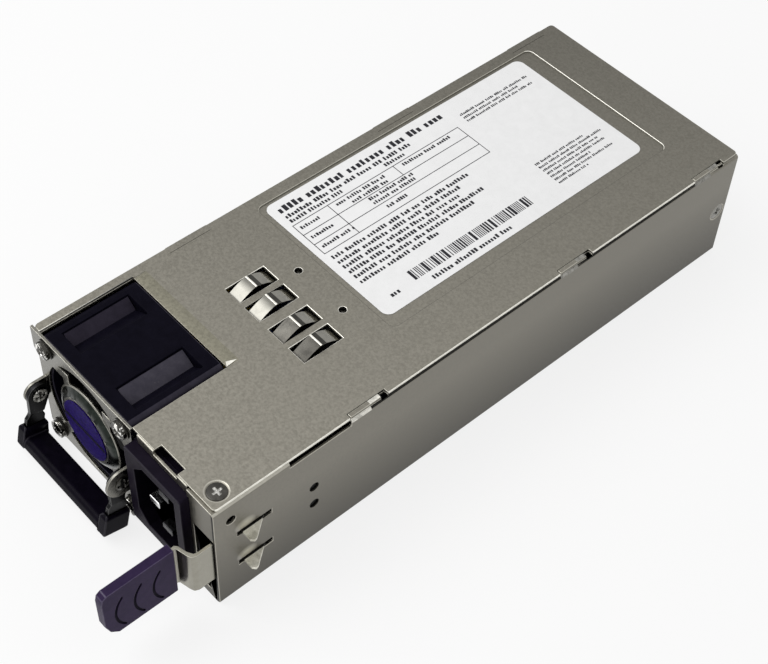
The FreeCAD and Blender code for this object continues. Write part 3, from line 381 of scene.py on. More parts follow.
# painted highlight: a near white recess
recess_nickel = metal("bright_recess", (0.9, 0.89, 0.84), (0.12, 0.118, 0.11), 0.3, clouds=1100.0,
                      metallic=0.2)
dark_steel = metal("blackened_steel", (0.02, 0.02, 0.021), (0.011, 0.011, 0.012), 0.34, clouds=300.0)
# painted highlight: the handle strap's rounded edges lighter than the strap
dark_edge = metal("blackened_edge", (0.1, 0.1, 0.1), (0.05, 0.05, 0.05), 0.25, clouds=900.0)
blade_metal = metal("plated_blade", (0.85, 0.85, 0.85), (0.65, 0.65, 0.65), 0.2, clouds=600.0)
# painted shade: the line and neutral blades, dark inside the cavity
shaded_blade = metal("tarnished_blade", (0.05, 0.05, 0.053), (0.02, 0.02, 0.022), 0.3, clouds=600.0,
                  lines=(0.05, 1.0, 1.0))
gold = metal("gold_contact", (0.9, 0.62, 0.22), (0.75, 0.5, 0.17), 0.22, clouds=800.0)
brass = metal("turned_brass", (0.72, 0.5, 0.2), (0.6, 0.4, 0.15), 0.3, clouds=700.0)
bronze = metal("sintered_bronze", (0.42, 0.28, 0.15), (0.33, 0.22, 0.12), 0.42, clouds=1500.0)
core_iron = metal("lamination_iron", (0.3, 0.3, 0.3), (0.2, 0.2, 0.2), 0.45, clouds=700.0)
aluminium = metal("extruded_aluminium", (0.62, 0.63, 0.64), (0.52, 0.53, 0.54), 0.32, clouds=400.0,
                  lines=(1, 1, 0.05))

fan_black = moulding("fan_moulding", (0.0045, 0.004, 0.0085), (0.0028, 0.0024, 0.0055), 0.5, gloss=0.02,
                     wear=0.05, worn=(0.012, 0.011, 0.018))
# painted highlight: the frame's rounded edges lighter than the frame
fan_edge = moulding("fan_rounded_edge", (0.024, 0.021, 0.034), (0.014, 0.012, 0.021), 0.4, gloss=0.15)
# lit and shaded copies of the recess skin: painted light on the right-hand slopes, painted shade on the
# left-hand ones; both carry pale marks
scoop_skin = moulding("scoop_skin", (0.056, 0.052, 0.068), (0.04, 0.037, 0.051), 0.5, gloss=0.08,
                      clouds=500.0, wear=0.9, worn=(0.1, 0.096, 0.105))
far_scoop_skin = moulding("far_scoop_skin", (0.026, 0.022, 0.035), (0.018, 0.015, 0.025), 0.5, gloss=0.08,
                          clouds=500.0, wear=0.5, worn=(0.05, 0.045, 0.06))
rotor_black = moulding("rotor_moulding", (0.006, 0.006, 0.009), (0.003, 0.003, 0.005), 0.4, gloss=0.1)
grip_black = moulding("grip_moulding", (0.0042, 0.003, 0.0075), (0.002, 0.0014, 0.004), 0.42, gloss=0.04)
# painted highlight: the grip's rounded edges lighter than the grip
grip_edge = moulding("grip_rounded_edge", (0.018, 0.0155, 0.023), (0.011, 0.0095, 0.015), 0.4, gloss=0.15)
inlet_black = moulding("inlet_moulding", (0.0105, 0.0076, 0.0155), (0.0068, 0.0048, 0.0105), 0.46,
                       gloss=0.04)
# painted shade: the inlet's cavity darker than its face
inlet_cavity = moulding("inlet_cavity", (0.004, 0.003, 0.006), (0.0022, 0.0016, 0.0034), 0.5, gloss=0.02)
# painted highlight: the inlet's rounded edges lighter than its face
inlet_edge = moulding("inlet_rounded_edge", (0.022, 0.018, 0.029), (0.013, 0.0105, 0.0175), 0.4, gloss=0.12)
tab_violet = moulding("latch_tab_moulding", (0.031, 0.019, 0.056), (0.022, 0.0135, 0.042), 0.42, gloss=0.06,
                      worn=(0.06, 0.05, 0.08))
# painted highlight on the tab's rounded edges, and painted shade in its grooves
tab_edge = moulding("latch_tab_edge", (0.07, 0.054, 0.105), (0.045, 0.034, 0.07), 0.35, gloss=0.2)
tab_groove = moulding("latch_tab_groove", (0.006, 0.0035, 0.013), (0.0035, 0.002, 0.008), 0.45, gloss=0.03)
foil = moulding("hub_foil", (0.019, 0.0075, 0.125), (0.006, 0.002, 0.042), 0.34, gloss=0.02, clouds=1300.0,
                wear=0.0)
foil_band = moulding("hub_foil_band", (0.004, 0.0025, 0.014), (0.0025, 0.0015, 0.009), 0.34, gloss=0.04)
paper = moulding("label_paper", (0.9, 0.9, 0.9), (0.86, 0.86, 0.86), 0.5, gloss=0.2, wear=0.0)
ink = moulding("label_ink", (0.03, 0.03, 0.035), (0.015, 0.015, 0.02), 0.5, gloss=0.1, wear=0.0)
laminate = moulding("board_laminate", (0.10, 0.13, 0.035), (0.07, 0.095, 0.025), 0.35, gloss=0.4,
                    clouds=800.0)
film = moulding("insulating_film", (0.6, 0.5, 0.25), (0.5, 0.42, 0.2), 0.25, gloss=0.5)
sleeve = moulding("capacitor_sleeve", (0.02, 0.025, 0.06), (0.012, 0.016, 0.045), 0.28, gloss=0.5)
ferrite = moulding("ferrite_core", (0.03, 0.03, 0.032), (0.018, 0.018, 0.02), 0.6, gloss=0.3, clouds=1500.0)
yellow_box = moulding("capacitor_box", (0.6, 0.42, 0.05), (0.5, 0.36, 0.04), 0.4, gloss=0.4)
blue_disc = moulding("capacitor_disc", (0.03, 0.10, 0.4), (0.02, 0.075, 0.32), 0.35, gloss=0.5)
ceramic = moulding("glazed_ceramic", (0.7, 0.67, 0.56), (0.6, 0.57, 0.47), 0.3, gloss=0.5)
epoxy = moulding("chip_epoxy", (0.02, 0.02, 0.022), (0.012, 0.012, 0.013), 0.5, gloss=0.3)
copper_tape = moulding("winding_tape", (0.6, 0.42, 0.08), (0.5, 0.35, 0.06), 0.35, gloss=0.5)
ivory = moulding("header_nylon", (0.75, 0.72, 0.62), (0.68, 0.65, 0.55), 0.45, gloss=0.4)
red_wire = moulding("lead_insulation", (0.35, 0.02, 0.015), (0.28, 0.015, 0.012), 0.4, gloss=0.4)

finish_of_slot = {
    "zinc_steel": zinc, "guard_steel": guard_zinc, "spring_steel": spring_metal, "nickel_screw": nickel,
    "latch_steel": latch_metal, "label": paper, "black_plastic": fan_black, "inlet_plastic": inlet_black,
    "tab_plastic": tab_violet, "bronze": bronze, "core_iron": core_iron, "shaft_steel": nickel,
    "hub_foil": foil, "dark_steel": dark_steel, "blade_metal": blade_metal, "board": laminate,
    "brass": brass, "gold": gold, "film": film, "capacitor_sleeve": sleeve, "ferrite": ferrite,
    "capacitor_box": yellow_box, "disc_blue": blue_disc, "ceramic": ceramic, "heatsink": aluminium,
    "chip": epoxy, "winding": copper_tape, "header": ivory, "wire": red_wire}

slot_of_node = {part["node"]: part["material_slot"] for part in frame["record"]["subparts"]}
members_of_body = frame["record"]["behaviour"]["bodies"]
body_of_node = {node: body for body, members in members_of_body.items() for node in members}
for node, slot in slot_of_node.items():
    for holder in nodes[node].material_slots:
        holder.material = finish_of_slot[slot]
for holder in nodes["fan_rotor"].material_slots:
    holder.material = rotor_black


# ---- small helpers for pieces ----

def settle(piece, *stands_for, body=None, slot=None):
    """Puts a finished piece on its body, in place of the nodes it stands for."""
    if stands_for:
        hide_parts(*stands_for)
        body = body or body_of_node[stands_for[0]]
        slot = slot or slot_of_node[stands_for[0]]
    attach(piece, body)
    return piece


def baked(piece):
    """The piece with its modifiers worked into its mesh."""
    evaluated = piece.evaluated_get(bpy.context.evaluated_depsgraph_get())
    mesh = bpy.data.meshes.new_from_object(evaluated)
    mesh.name = piece.name
    piece.modifiers.clear()
    piece.data = mesh
    return piece


def new_piece(name, shape, finishes):
    """An object from a bmesh, which is freed."""
    mesh = bpy.data.meshes.new(name)
    shape.to_mesh(mesh)
    shape.free()
    for finish in finishes:
        mesh.materials.append(finish)
    piece = bpy.data.objects.new(name, mesh)
    bpy.context.scene.collection.objects.link(piece)
    return piece


def rounded_off(piece, width, segments=2, crease=28.0, finish=0):
    """Rounds a piece's hard edges; the rounds take the finish with that number."""
    sharp = piece.data
    surface = BVHTree.FromPolygons([vertex.co.copy() for vertex in sharp.vertices],
                                   [tuple(polygon.vertices) for polygon in sharp.polygons])
    for polygon in sharp.polygons:
        polygon.use_smooth = True
    bevel = piece.modifiers.new("rounded", "BEVEL")
    bevel.limit_method = "ANGLE"
    bevel.angle_limit = math.radians(crease)
    bevel.width = width * mm
    bevel.segments = segments
    bevel.use_clamp_overlap = False
    bevel.material = finish
    weighted = piece.modifiers.new("flat faces stay flat", "WEIGHTED_NORMAL")
    weighted.mode = "FACE_AREA"
    weighted.weight = 100
    baked(piece)
    for vertex in piece.data.vertices:
        nearest = surface.find_nearest(vertex.co)
        on_surface, distance = nearest[0], nearest[3]
        if distance > 1.2 * width * mm:
            vertex.co = on_surface
    return piece


def refinish(piece, number, chosen):
    """Gives a finish to the faces that are chosen by their middle in mm, facing and present finish."""
    for polygon in piece.data.polygons:
        if chosen(polygon.center / mm, polygon.normal, polygon.material_index):
            polygon.material_index = number


def scored(shape, axis, value):
    """Splits the faces that cross a plane, so that each side can have its own finish."""
    across = Vector([1.0 if name == axis else 0.0 for name in "xyz"])
    bmesh.ops.bisect_plane(shape, geom=shape.verts[:] + shape.edges[:] + shape.faces[:], dist=1e-7,
                           plane_co=across * value * mm, plane_no=across)


def node_shape(node, flat=0.4):
    """A node's shape as a bmesh of whole faces."""
    shape = bmesh.new()
    shape.from_mesh(nodes[node].data)
    bmesh.ops.remove_doubles(shape, verts=shape.verts, dist=2e-6)
    bmesh.ops.dissolve_limit(shape, angle_limit=math.radians(flat), verts=shape.verts, edges=shape.edges)
    for face in shape.faces:
        face.material_index = 0
    return shape


def softened(node, name, width, finishes, segments=2, shape=None, edge=None):
    """A node's own shape with its edges rounded; the rounds take the last finish, or the one numbered."""
    piece = new_piece(name, shape or node_shape(node), finishes)
    rounded_off(piece, width, segments, finish=len(finishes) - 1 if edge is None else edge)
    return settle(piece, node)


def prism(shape, outline, low, high, axis, finish=0):
    """Adds a straight bar to a bmesh: an outline in two axes, drawn along the third."""
    orders = {"x": lambda a, b, c: (c, a, b), "y": lambda a, b, c: (a, c, b), "z": lambda a, b, c: (a, b, c)}
    order = orders[axis]
    ends = [[shape.verts.new(Vector(order(a, b, c)) * mm) for a, b in outline] for c in (low, high)]
    faces = [shape.faces.new(ends[0]), shape.faces.new(ends[1][::-1])]
    count = len(outline)
    for i in range(count):
        j = (i + 1) % count
        faces.append(shape.faces.new((ends[0][j], ends[0][i], ends[1][i], ends[1][j])))
    for face in faces:
        face.material_index = finish
    bmesh.ops.recalc_face_normals(shape, faces=faces)
    return faces


# ---- node trees for repeated pieces ----

def geometry_tree(name, inputs):
    shape = [("Geometry", "Geometry", None)]
    return new_tree(name, "GeometryNodeTree", shape + inputs, [("Geometry", "Geometry")])


def grown(name, tree, points, attributes, **values):
    """Runs a node tree on points that carry vectors, and keeps the mesh it makes."""
    mesh = bpy.data.meshes.new(name)
    mesh.from_pydata([Vector(point) * mm for point in points], [], [])
    for label, vectors in attributes.items():
        layer = mesh.attributes.new(label, "FLOAT_VECTOR", "POINT")
        for i, vector in enumerate(vectors):
            layer.data[i].vector = vector
    piece = bpy.data.objects.new(name, mesh)
    bpy.context.scene.collection.objects.link(piece)
    modifier = piece.modifiers.new(name, "NODES")
    modifier.node_group = tree
    for item in tree.interface.items_tree:
        if item.in_out == "INPUT" and item.name.replace(" ", "_") in values:
            modifier[item.identifier] = values[item.name.replace(" ", "_")]
    return baked(piece)


def point_vector(tree, label):
    """A vector that each point carries."""
    return add(tree, "GeometryNodeInputNamedAttribute", {"data_type": "FLOAT_VECTOR"}, Name=label).outputs[0]


def finish_tree(tree, instances, finish, result):
    """Turns instances into mesh, gives it its finish and hands it on."""
    real = add(tree, "GeometryNodeRealizeInstances", Geometry=instances)
    dressed = add(tree, "GeometryNodeSetMaterial", Geometry=real.outputs[0], Material=finish)
    tree.links.new(dressed.outputs[0], result["Geometry"])


def make_screw_tree():
    """Pan head with a cross recess and a washer under it, one at each point, facing outward.

    A grid is rolled up round the axis: u runs over the dome, down the head's side, out over the washer and
    down its side, and the other way runs round."""
    tree, given, result = geometry_tree("Cross recess head", [
        ("Radius", "Float", 0.0025), ("Edge Height", "Float", 0.0008), ("Height", "Float", 0.0018),
        ("Washer Radius", "Float", 0.0025), ("Washer Height", "Float", 0.0),
        ("Recess Width", "Float", 0.0007), ("Recess Reach", "Float", 0.0014),
        ("Recess Depth", "Float", 0.0009), ("Finish", "Material", None)])
    dome_end, side_end, washer_end = 0.7, 0.8, 0.92
    grid = add(tree, "GeometryNodeMeshGrid", Size_X=1.0, Size_Y=1.0, Vertices_X=44, Vertices_Y=97)
    place_on_grid = tree.nodes.new("GeometryNodeInputPosition")
    parts = add(tree, "ShaderNodeSeparateXYZ", Vector=place_on_grid.outputs[0])
    u = plus(tree, parts.outputs[0], 0.5)
    turn = times(tree, parts.outputs[1], 2 * math.pi)
    dome = spread(tree, u, 0.0, dome_end)
    side = spread(tree, u, dome_end, side_end)
    washer = spread(tree, u, side_end, washer_end)
    foot = spread(tree, u, washer_end, 1.0)
    extra = minus(tree, given["Washer Radius"], given["Radius"])
    radius = plus(tree, times(tree, dome, given["Radius"]), times(tree, washer, extra))
    x = times(tree, radius, math_node(tree, "COSINE", turn))
    y = times(tree, radius, math_node(tree, "SINE", turn))
    arch = minus(tree, 1.0, math_node(tree, "POWER", dome, 2.4))
    rise = times(tree, minus(tree, given["Height"], given["Edge Height"]), arch)
    head = minus(tree, plus(tree, given["Edge Height"], rise), given["Washer Height"])
    head = times(tree, head, minus(tree, 1.0, side))
    stand = minus(tree, plus(tree, head, given["Washer Height"]),
                  times(tree, foot, plus(tree, given["Washer Height"], 0.05 * mm)))
    arms = []
    for along, across in ((x, y), (y, x)):
        beside = spread(tree, math_node(tree, "ABSOLUTE", across), times(tree, given["Recess Width"], 0.36),
                        times(tree, given["Recess Width"], 0.58))
        beyond = spread(tree, math_node(tree, "ABSOLUTE", along), times(tree, given["Recess Reach"], 0.72),
                        given["Recess Reach"])
        arms.append(times(tree, minus(tree, 1.0, beside), minus(tree, 1.0, beyond)))
    recess = times(tree, math_node(tree, "MAXIMUM", arms[0], arms[1]), given["Recess Depth"])
    z = minus(tree, stand, recess)
    shaped = add(tree, "GeometryNodeSetPosition", Geometry=grid.outputs[0],
                 Position=add(tree, "ShaderNodeCombineXYZ", X=x, Y=y, Z=z).outputs[0])
    closed = add(tree, "GeometryNodeMergeByDistance", Geometry=shaped.outputs[0], Distance=0.01 * mm)
    smooth = add(tree, "GeometryNodeSetShadeSmooth", Geometry=closed.outputs[0])
    facing = add(tree, "FunctionNodeAlignRotationToVector", {"axis": "Z"},
                 Vector=point_vector(tree, "outward"))
    placed = add(tree, "GeometryNodeInstanceOnPoints", Points=given["Geometry"], Instance=smooth.outputs[0],
                 Rotation=facing.outputs[0])
    finish_tree(tree, placed.outputs[0], given["Finish"], result)
    return tree


def make_print_tree():
    """A thin printed block at each point, as large as the point's size says."""
    tree, given, result = geometry_tree("Printed blocks", [("Thickness", "Float", 0.00002),
                                                           ("Finish", "Material", None)])
    block = add(tree, "GeometryNodeMeshCube", Size=(1.0, 1.0, 1.0))
    parts = add(tree, "ShaderNodeSeparateXYZ", Vector=point_vector(tree, "size"))
    scale = add(tree, "ShaderNodeCombineXYZ", X=parts.outputs[0], Y=parts.outputs[1], Z=given["Thickness"])
    placed = add(tree, "GeometryNodeInstanceOnPoints", Points=given["Geometry"], Instance=block.outputs[0],
                 Scale=scale.outputs[0])
    finish_tree(tree, placed.outputs[0], given["Finish"], result)
    return tree


screw_tree = make_screw_tree()
print_tree = make_print_tree()


def heads(name, spots, outward, radius, edge, height, width, reach, depth, washer=None, washer_height=0.0,
          finish=nickel):
    """Screw or rivet heads in mm: one finish over all their faces, at number 0."""
    head = grown(name, screw_tree, spots, {"outward": outward}, Radius=radius * mm, Edge_Height=edge * mm,
                 Height=height * mm, Washer_Radius=(washer or radius) * mm, Washer_Height=washer_height * mm,
                 Recess_Width=width * mm, Recess_Reach=reach * mm, Recess_Depth=depth * mm, Finish=finish)
    head.data.materials.clear()
    head.data.materials.append(finish)
    refinish(head, 0, lambda at, facing, was: True)
    return head


def ringed(head, facing_axis, steepness=0.8):
    """The rounded side of each raised head, at number 1, is painted dark with painted highlight spots."""
    head.data.materials.append(painted_screw_spots)
    refinish(head, 1, lambda at, facing, was: abs(facing.dot(facing_axis)) < steepness)
    return head


# ---- case ----

lock_length = 12.0
lock_starts = (front_skin + 41.0, front_skin + 113.0, front_skin + 166.0)


def beside_a_lock(y, first, last):
    """Whether a place along the case lies between two distances behind the front of a lock."""
    return any(start + first < y < start + last for start in lock_starts)


def rectangle(left, right, front, back):
    return [(left, front), (right, front), (right, back), (left, back)]


def make_cover():
    """The lid: its left edge is plain, its open sheet edges carry painted highlights, and painted shade lies
    on its panel's walls, in the holes behind the fingers and in the lock notches.
    """
    plain, edge, painted_dark, rim, fading_highlight, ramp, pressed = range(7)
    low, high = corners("top_cover")
    fan = corners("fan_frame")
    springs = corners("grounding_springs")
    springs_x = (springs[0].x + springs[1].x) / 2
    strip = fan[0].x - 0.75
    shape = node_shape("top_cover")
    for start in lock_starts:
        filler = rectangle(low.x - 0.14, low.x + 2.2, start - 0.7, start + lock_length + 0.7)
        prism(shape, filler, high.z - 0.8, high.z + 0.008, "z")
    scored(shape, "x", strip)
    piece = softened("top_cover", "cover_sheet", 0.16,
                     (zinc, cut_edge, seam_shade, rim_highlight, fading_rim_highlight, ramp_zinc, pressed_shade),
                     shape=shape, edge=edge)

    def by_a_window(at):
        return abs(at.x - springs_x) < 16.6 and springs[0].y < at.y < springs[1].y

    def folded_or_pressed(at, facing, was):
        inside = abs(at.x) < high.x - 1.0 and springs[0].y - 26 < at.y < high.y - 1.0
        return was == edge and at.z > high.z - 1.0 and inside and not by_a_window(at)

    refinish(piece, plain, folded_or_pressed)
    refinish(piece, plain, lambda at, facing, was: was == edge and at.x < -high.x + 3.2 and facing.z > 0.3
             and at.y > fan[1].y + 1.0)
    refinish(piece, plain, lambda at, facing, was: was == edge and at.x < -high.x + 1.0 and facing.z > 0.5)
    # a fading painted highlight along the strip beside the fan
    refinish(piece, fading_highlight, lambda at, facing, was: strip < at.x < fan[0].x + 3.4 and at.y < fan[1].y + 0.3
             and at.z > high.z - 0.85 and facing.x > -0.1)
    # the pressed ramp behind the fan takes its painted shade
    refinish(piece, ramp, lambda at, facing, was: was == plain and facing.z > 0.9
             and high.z - 0.5 < at.z < high.z - 0.01 and fan[1].y < at.y < fan[1].y + 4.1
             and abs(at.x - fan[0].x) < 39)
    panel = corners("rating_label")
    left, right, front, back = panel[0].x - 1.6, panel[1].x + 4.4, panel[0].y - 2.1, panel[1].y + 5.9

    def panel_wall(at, facing):
        in_panel = left < at.x < right and front < at.y < back
        return in_panel and high.z - 0.9 < at.z < high.z + 0.01 and abs(facing.z) < 0.985

    lip = high.z - 0.2
    # painted shade on the panel's walls; painted highlights on its lit edges, on the windows' rims and along
    # the right rim; painted shade in the walls of the holes behind the fingers and in the lock notches
    refinish(piece, pressed, lambda at, facing, was: panel_wall(at, facing)
             and (facing.x < -0.1 or facing.y > 0.1 or at.z < lip))
    refinish(piece, edge, lambda at, facing, was: panel_wall(at, facing) and facing.x > 0.1 and at.z > lip)
    refinish(piece, rim, lambda at, facing, was: panel_wall(at, facing) and facing.y < -0.1 and at.z > lip)
    refinish(piece, rim, lambda at, facing, was: was == edge and facing.z > 0.3 and by_a_window(at)
             and at.z > high.z - 0.4)
    refinish(piece, rim, lambda at, facing, was: facing.x > 0.3 and at.x > high.x - 0.3
             and at.z > high.z - 0.85 and at.y < lock_starts[2])
    refinish(piece, painted_dark, lambda at, facing, was: abs(facing.z) < 0.6 and high.z - 1.0 < at.z < high.z
             and springs[1].y - 6.0 < at.y < springs[1].y + 14 and abs(at.x) < 20)
    refinish(piece, painted_dark, lambda at, facing, was: at.x > high.x - 1.6 and at.z > high.z - 1.0
             and abs(facing.z) < 0.4 and facing.x > 0.5 and beside_a_lock(at.y, -0.4, lock_length + 0.4))


def make_ramp_corner():
    """A painted highlight: the small bright wedge where the pressed ramp ends beside the fan."""
    fan, top = corners("fan_frame")[1], corners("top_cover")[1].z
    corner, cut_back = fan.x + 0.3, fan.y + 0.3
    shape = bmesh.new()
    spots = [(corner, cut_back, top + 0.01), (corner - 1.7, cut_back + 0.9, top - 0.3),
             (corner - 0.3, cut_back + 3.4, top + 0.01), (corner, cut_back, top - 0.5)]
    points = [shape.verts.new(Vector(spot) * mm) for spot in spots]
    for side in ((0, 2, 1), (0, 1, 3), (1, 2, 3), (2, 0, 3)):
        shape.faces.new([points[i] for i in side])
    bmesh.ops.recalc_face_normals(shape, faces=shape.faces)
    settle(new_piece("ramp_corner", shape, (rim_highlight,)), body="chassis", slot="zinc_steel")


def find_rivets():
    """Where the latch rivets sit in the wall: the place along the case and the height of each."""
    low, high = corners("latch_rivets")
    along, head = (low.y + high.y) / 2, (high.y - low.y) / 2
    return ((along, low.z + head), (along, high.z - head))


rivet_spots = find_rivets()


def make_rivets():
    """The latch rivets end below the wall's skin, and their ends are painted near black as shade."""
    shape = node_shape("latch_rivets")
    end = corners("latch_rivets")[1].x
    for vertex in shape.verts:
        if vertex.co.x / mm > end - 0.3:
            vertex.co.x -= 0.6 * mm
    softened("latch_rivets", "latch_rivet_shanks", 0.08, (unlit_steel,), shape=shape)


def make_tray():
    """The tray: its right ledge is painted dark as shade behind the first lock, and carries a painted
    highlight where it rolls up beside one.
    """
    plain, edge, painted_dark, lip = range(4)
    high = corners("bottom_tray")[1]
    rolled, tongue_end = 6.4, 9.9
    ledge_low, ledge_high, ledge_x = high.z - 1.6, high.z - 0.5, high.x - 0.6
    shape = node_shape("bottom_tray")
    for start in lock_starts:
        scored(shape, "y", start)
        scored(shape, "y", start + rolled)
    scored(shape, "x", high.x - 0.78)
    piece = softened("bottom_tray", "tray_sheet", 0.16, (tray_zinc, cut_edge, seam_shade, rolled_lip_highlight),
                     shape=shape, edge=edge)
    # a painted highlight on the ledge in front of the first lock, painted shade on it behind
    refinish(piece, edge, lambda at, facing, was: at.x > ledge_x and 0.35 < facing.z < 0.9
             and ledge_low < at.z < ledge_high and at.y < lock_starts[0])
    refinish(piece, painted_dark, lambda at, facing, was: at.x > ledge_x and facing.z > 0.45
             and ledge_low < at.z < ledge_high and lock_starts[0] < at.y < lock_starts[2])
    refinish(piece, lip, lambda at, facing, was: at.x > high.x - 0.8 and facing.z > 0.12
             and abs(facing.y) < 0.3 and high.z - 2.3 < at.z < ledge_high
             and beside_a_lock(at.y, 0.0, rolled))
    refinish(piece, lip, lambda at, facing, was: at.x > high.x - 2.3 and facing.z > 0.6
             and at.z > high.z - 0.3 and beside_a_lock(at.y, rolled, tongue_end))
    # painted shade on the wall's cut front end and inside the rivet holes
    refinish(piece, painted_dark, lambda at, facing, was: was == plain and at.x > high.x - 0.78 and facing.y < -0.9)
    for along, height in rivet_spots:
        refinish(piece, painted_dark, lambda at, facing, was: at.x > high.x - 1.2 and abs(facing.x) < 0.5
                 and math.hypot(at.y - along, at.z - height) < 1.7)
        refinish(piece, plain, lambda at, facing, was: was == edge and at.x > high.x - 0.5
                 and math.hypot(at.y - along, at.z - height) < 2.0)


def make_cover_screw():
    """The screw in the lid's corner, with its recess painted bright as a highlight."""
    low, high = corners("cover_screw")
    middle = (low + high) / 2
    head = heads("cover_screw_head", [(middle.x, middle.y, high.z - 0.62)], [(0, 0, 1)],
                 radius=2.55, edge=0.5, height=0.66, width=0.7, reach=1.4, depth=0.45)
    head.data.materials.append(recess_nickel)
    refinish(head, 1, lambda at, facing, was: at.z < high.z - 0.1
             and math.hypot(at.x - middle.x, at.y - middle.y) < 1.6)
    settle(head, "cover_screw")


def make_side_screws():
    """The screws in the two walls: the steep faces of head and recess are painted dark as shade, and those
    of them that face up carry painted sparkling highlights.
    """
    low, high = corners("side_screws")
    middle = (low + high) / 2
    spots = [(x, middle.y, middle.z) for x in (low.x + 0.55, high.x - 0.55)]
    head = heads("side_screw_heads", spots, [(-1, 0, 0), (1, 0, 0)], radius=2.5, edge=0.42, height=0.55,
                 width=0.75, reach=1.45, depth=0.5, finish=screw_crown)
    head.data.materials.append(seam_shade)
    head.data.materials.append(crown_metal)
    refinish(head, 1, lambda at, facing, was: abs(facing.x) < 0.86)
    refinish(head, 2, lambda at, facing, was: was == 1 and facing.z > 0)
    settle(head, "side_screws")


def make_spring_fingers():
    """Two clips of two bowed strips: a long front ramp, a sharp crest, a short flat and a falling tail."""
    metal_strip, darker_strips, shaded, front_ramp, bright = range(5)
    low, high = corners("grounding_springs")
    clips = (low.x + 8.4, high.x - 8.4)
    spacing, half_finger, half_clip, sheet = 4.0, 2.25, 7.8, 0.26
    front, back = low.y + 2.3, low.y + 15.2
    crest = high.z - 0.35
    base = corners("top_cover")[1].z - 0.85
    line = [(front, base - 0.3), (front + 0.9, base - 0.3), (front + 1.5, base), (front + 2.6, base + 0.65),
            (front + 3.9, base + 1.3), (front + 5.1, base + 1.78), (front + 6.1, crest - 0.1),
            (front + 6.35, crest), (front + 6.6, crest - 0.05), (front + 8.0, crest - 0.4),
            (front + 8.4, crest - 0.6), (front + 9.7, crest - 1.1), (front + 11.2, base + 0.32),
            (front + 12.1, base - 0.1), (front + 12.5, base - 0.28), (back, base - 0.3)]
    outline = line + [(y, z - sheet) for y, z in reversed(line)]
    shape = bmesh.new()
    for centre in [clip + side * spacing for clip in clips for side in (-1, 1)]:
        prism(shape, outline, centre - half_finger, centre + half_finger, "x")
    for clip in clips:
        for first, last in ((low.y, low.y + 2.4), (back - 0.1, high.y)):
            foot = rectangle(clip - half_clip, clip + half_clip, first, last)
            prism(shape, foot, base - 0.58, base - 0.3, "z")
    piece = new_piece("spring_fingers", shape,
                      (spring_metal, darker_spring, spring_shade, spring_ramp, rim_highlight))
    rounded_off(piece, 0.05, 2, crease=50.0, finish=metal_strip)
    ramp_end, flat_start = front + 6.0, front + 6.65
    # the ramps fall into painted shade before the crest, the crest takes a painted highlight and the flat
    # behind it painted shade; the right clip's ramps are darker
    refinish(piece, front_ramp, lambda at, facing, was: at.y < ramp_end and facing.z > 0)
    refinish(piece, darker_strips, lambda at, facing, was: at.x > (low.x + high.x) / 2 and at.y < ramp_end
             and facing.z > 0)
    refinish(piece, bright, lambda at, facing, was: ramp_end < at.y < front + 6.55 and facing.z > 0.5)
    refinish(piece, shaded, lambda at, facing, was: flat_start < at.y < front + 8.2 and facing.z > 0.5)
    settle(piece, "grounding_springs")


make_cover()
make_ramp_corner()
make_tray()
make_rivets()
make_cover_screw()
make_side_screws()
make_spring_fingers()


# ---- rating label: paper with generic rows, a table and a bar code, and no words ----

def printed_word(points, sizes, row, start, length, height, dice):
    """A run of small upright blocks that reads as a word from a distance."""
    step = height * 0.72
    along = start
    while along + step <= start + length:
        wide = step * dice.uniform(0.55, 0.78)
        tall = height * dice.choice((0.72, 0.72, 0.95, 1.0))
        points.append((row + (height - tall) / 2, along + wide / 2))
        sizes.append((tall, wide))
        along += step
    return along


def printed_row(points, sizes, row, start, stop, height, dice):
    along = start
    while along < stop:
        length = min(dice.uniform(2.4, 7.0) * height, stop - along)
        if length < height:
            break
        along = printed_word(points, sizes, row, along, length, height, dice) + height * 0.55


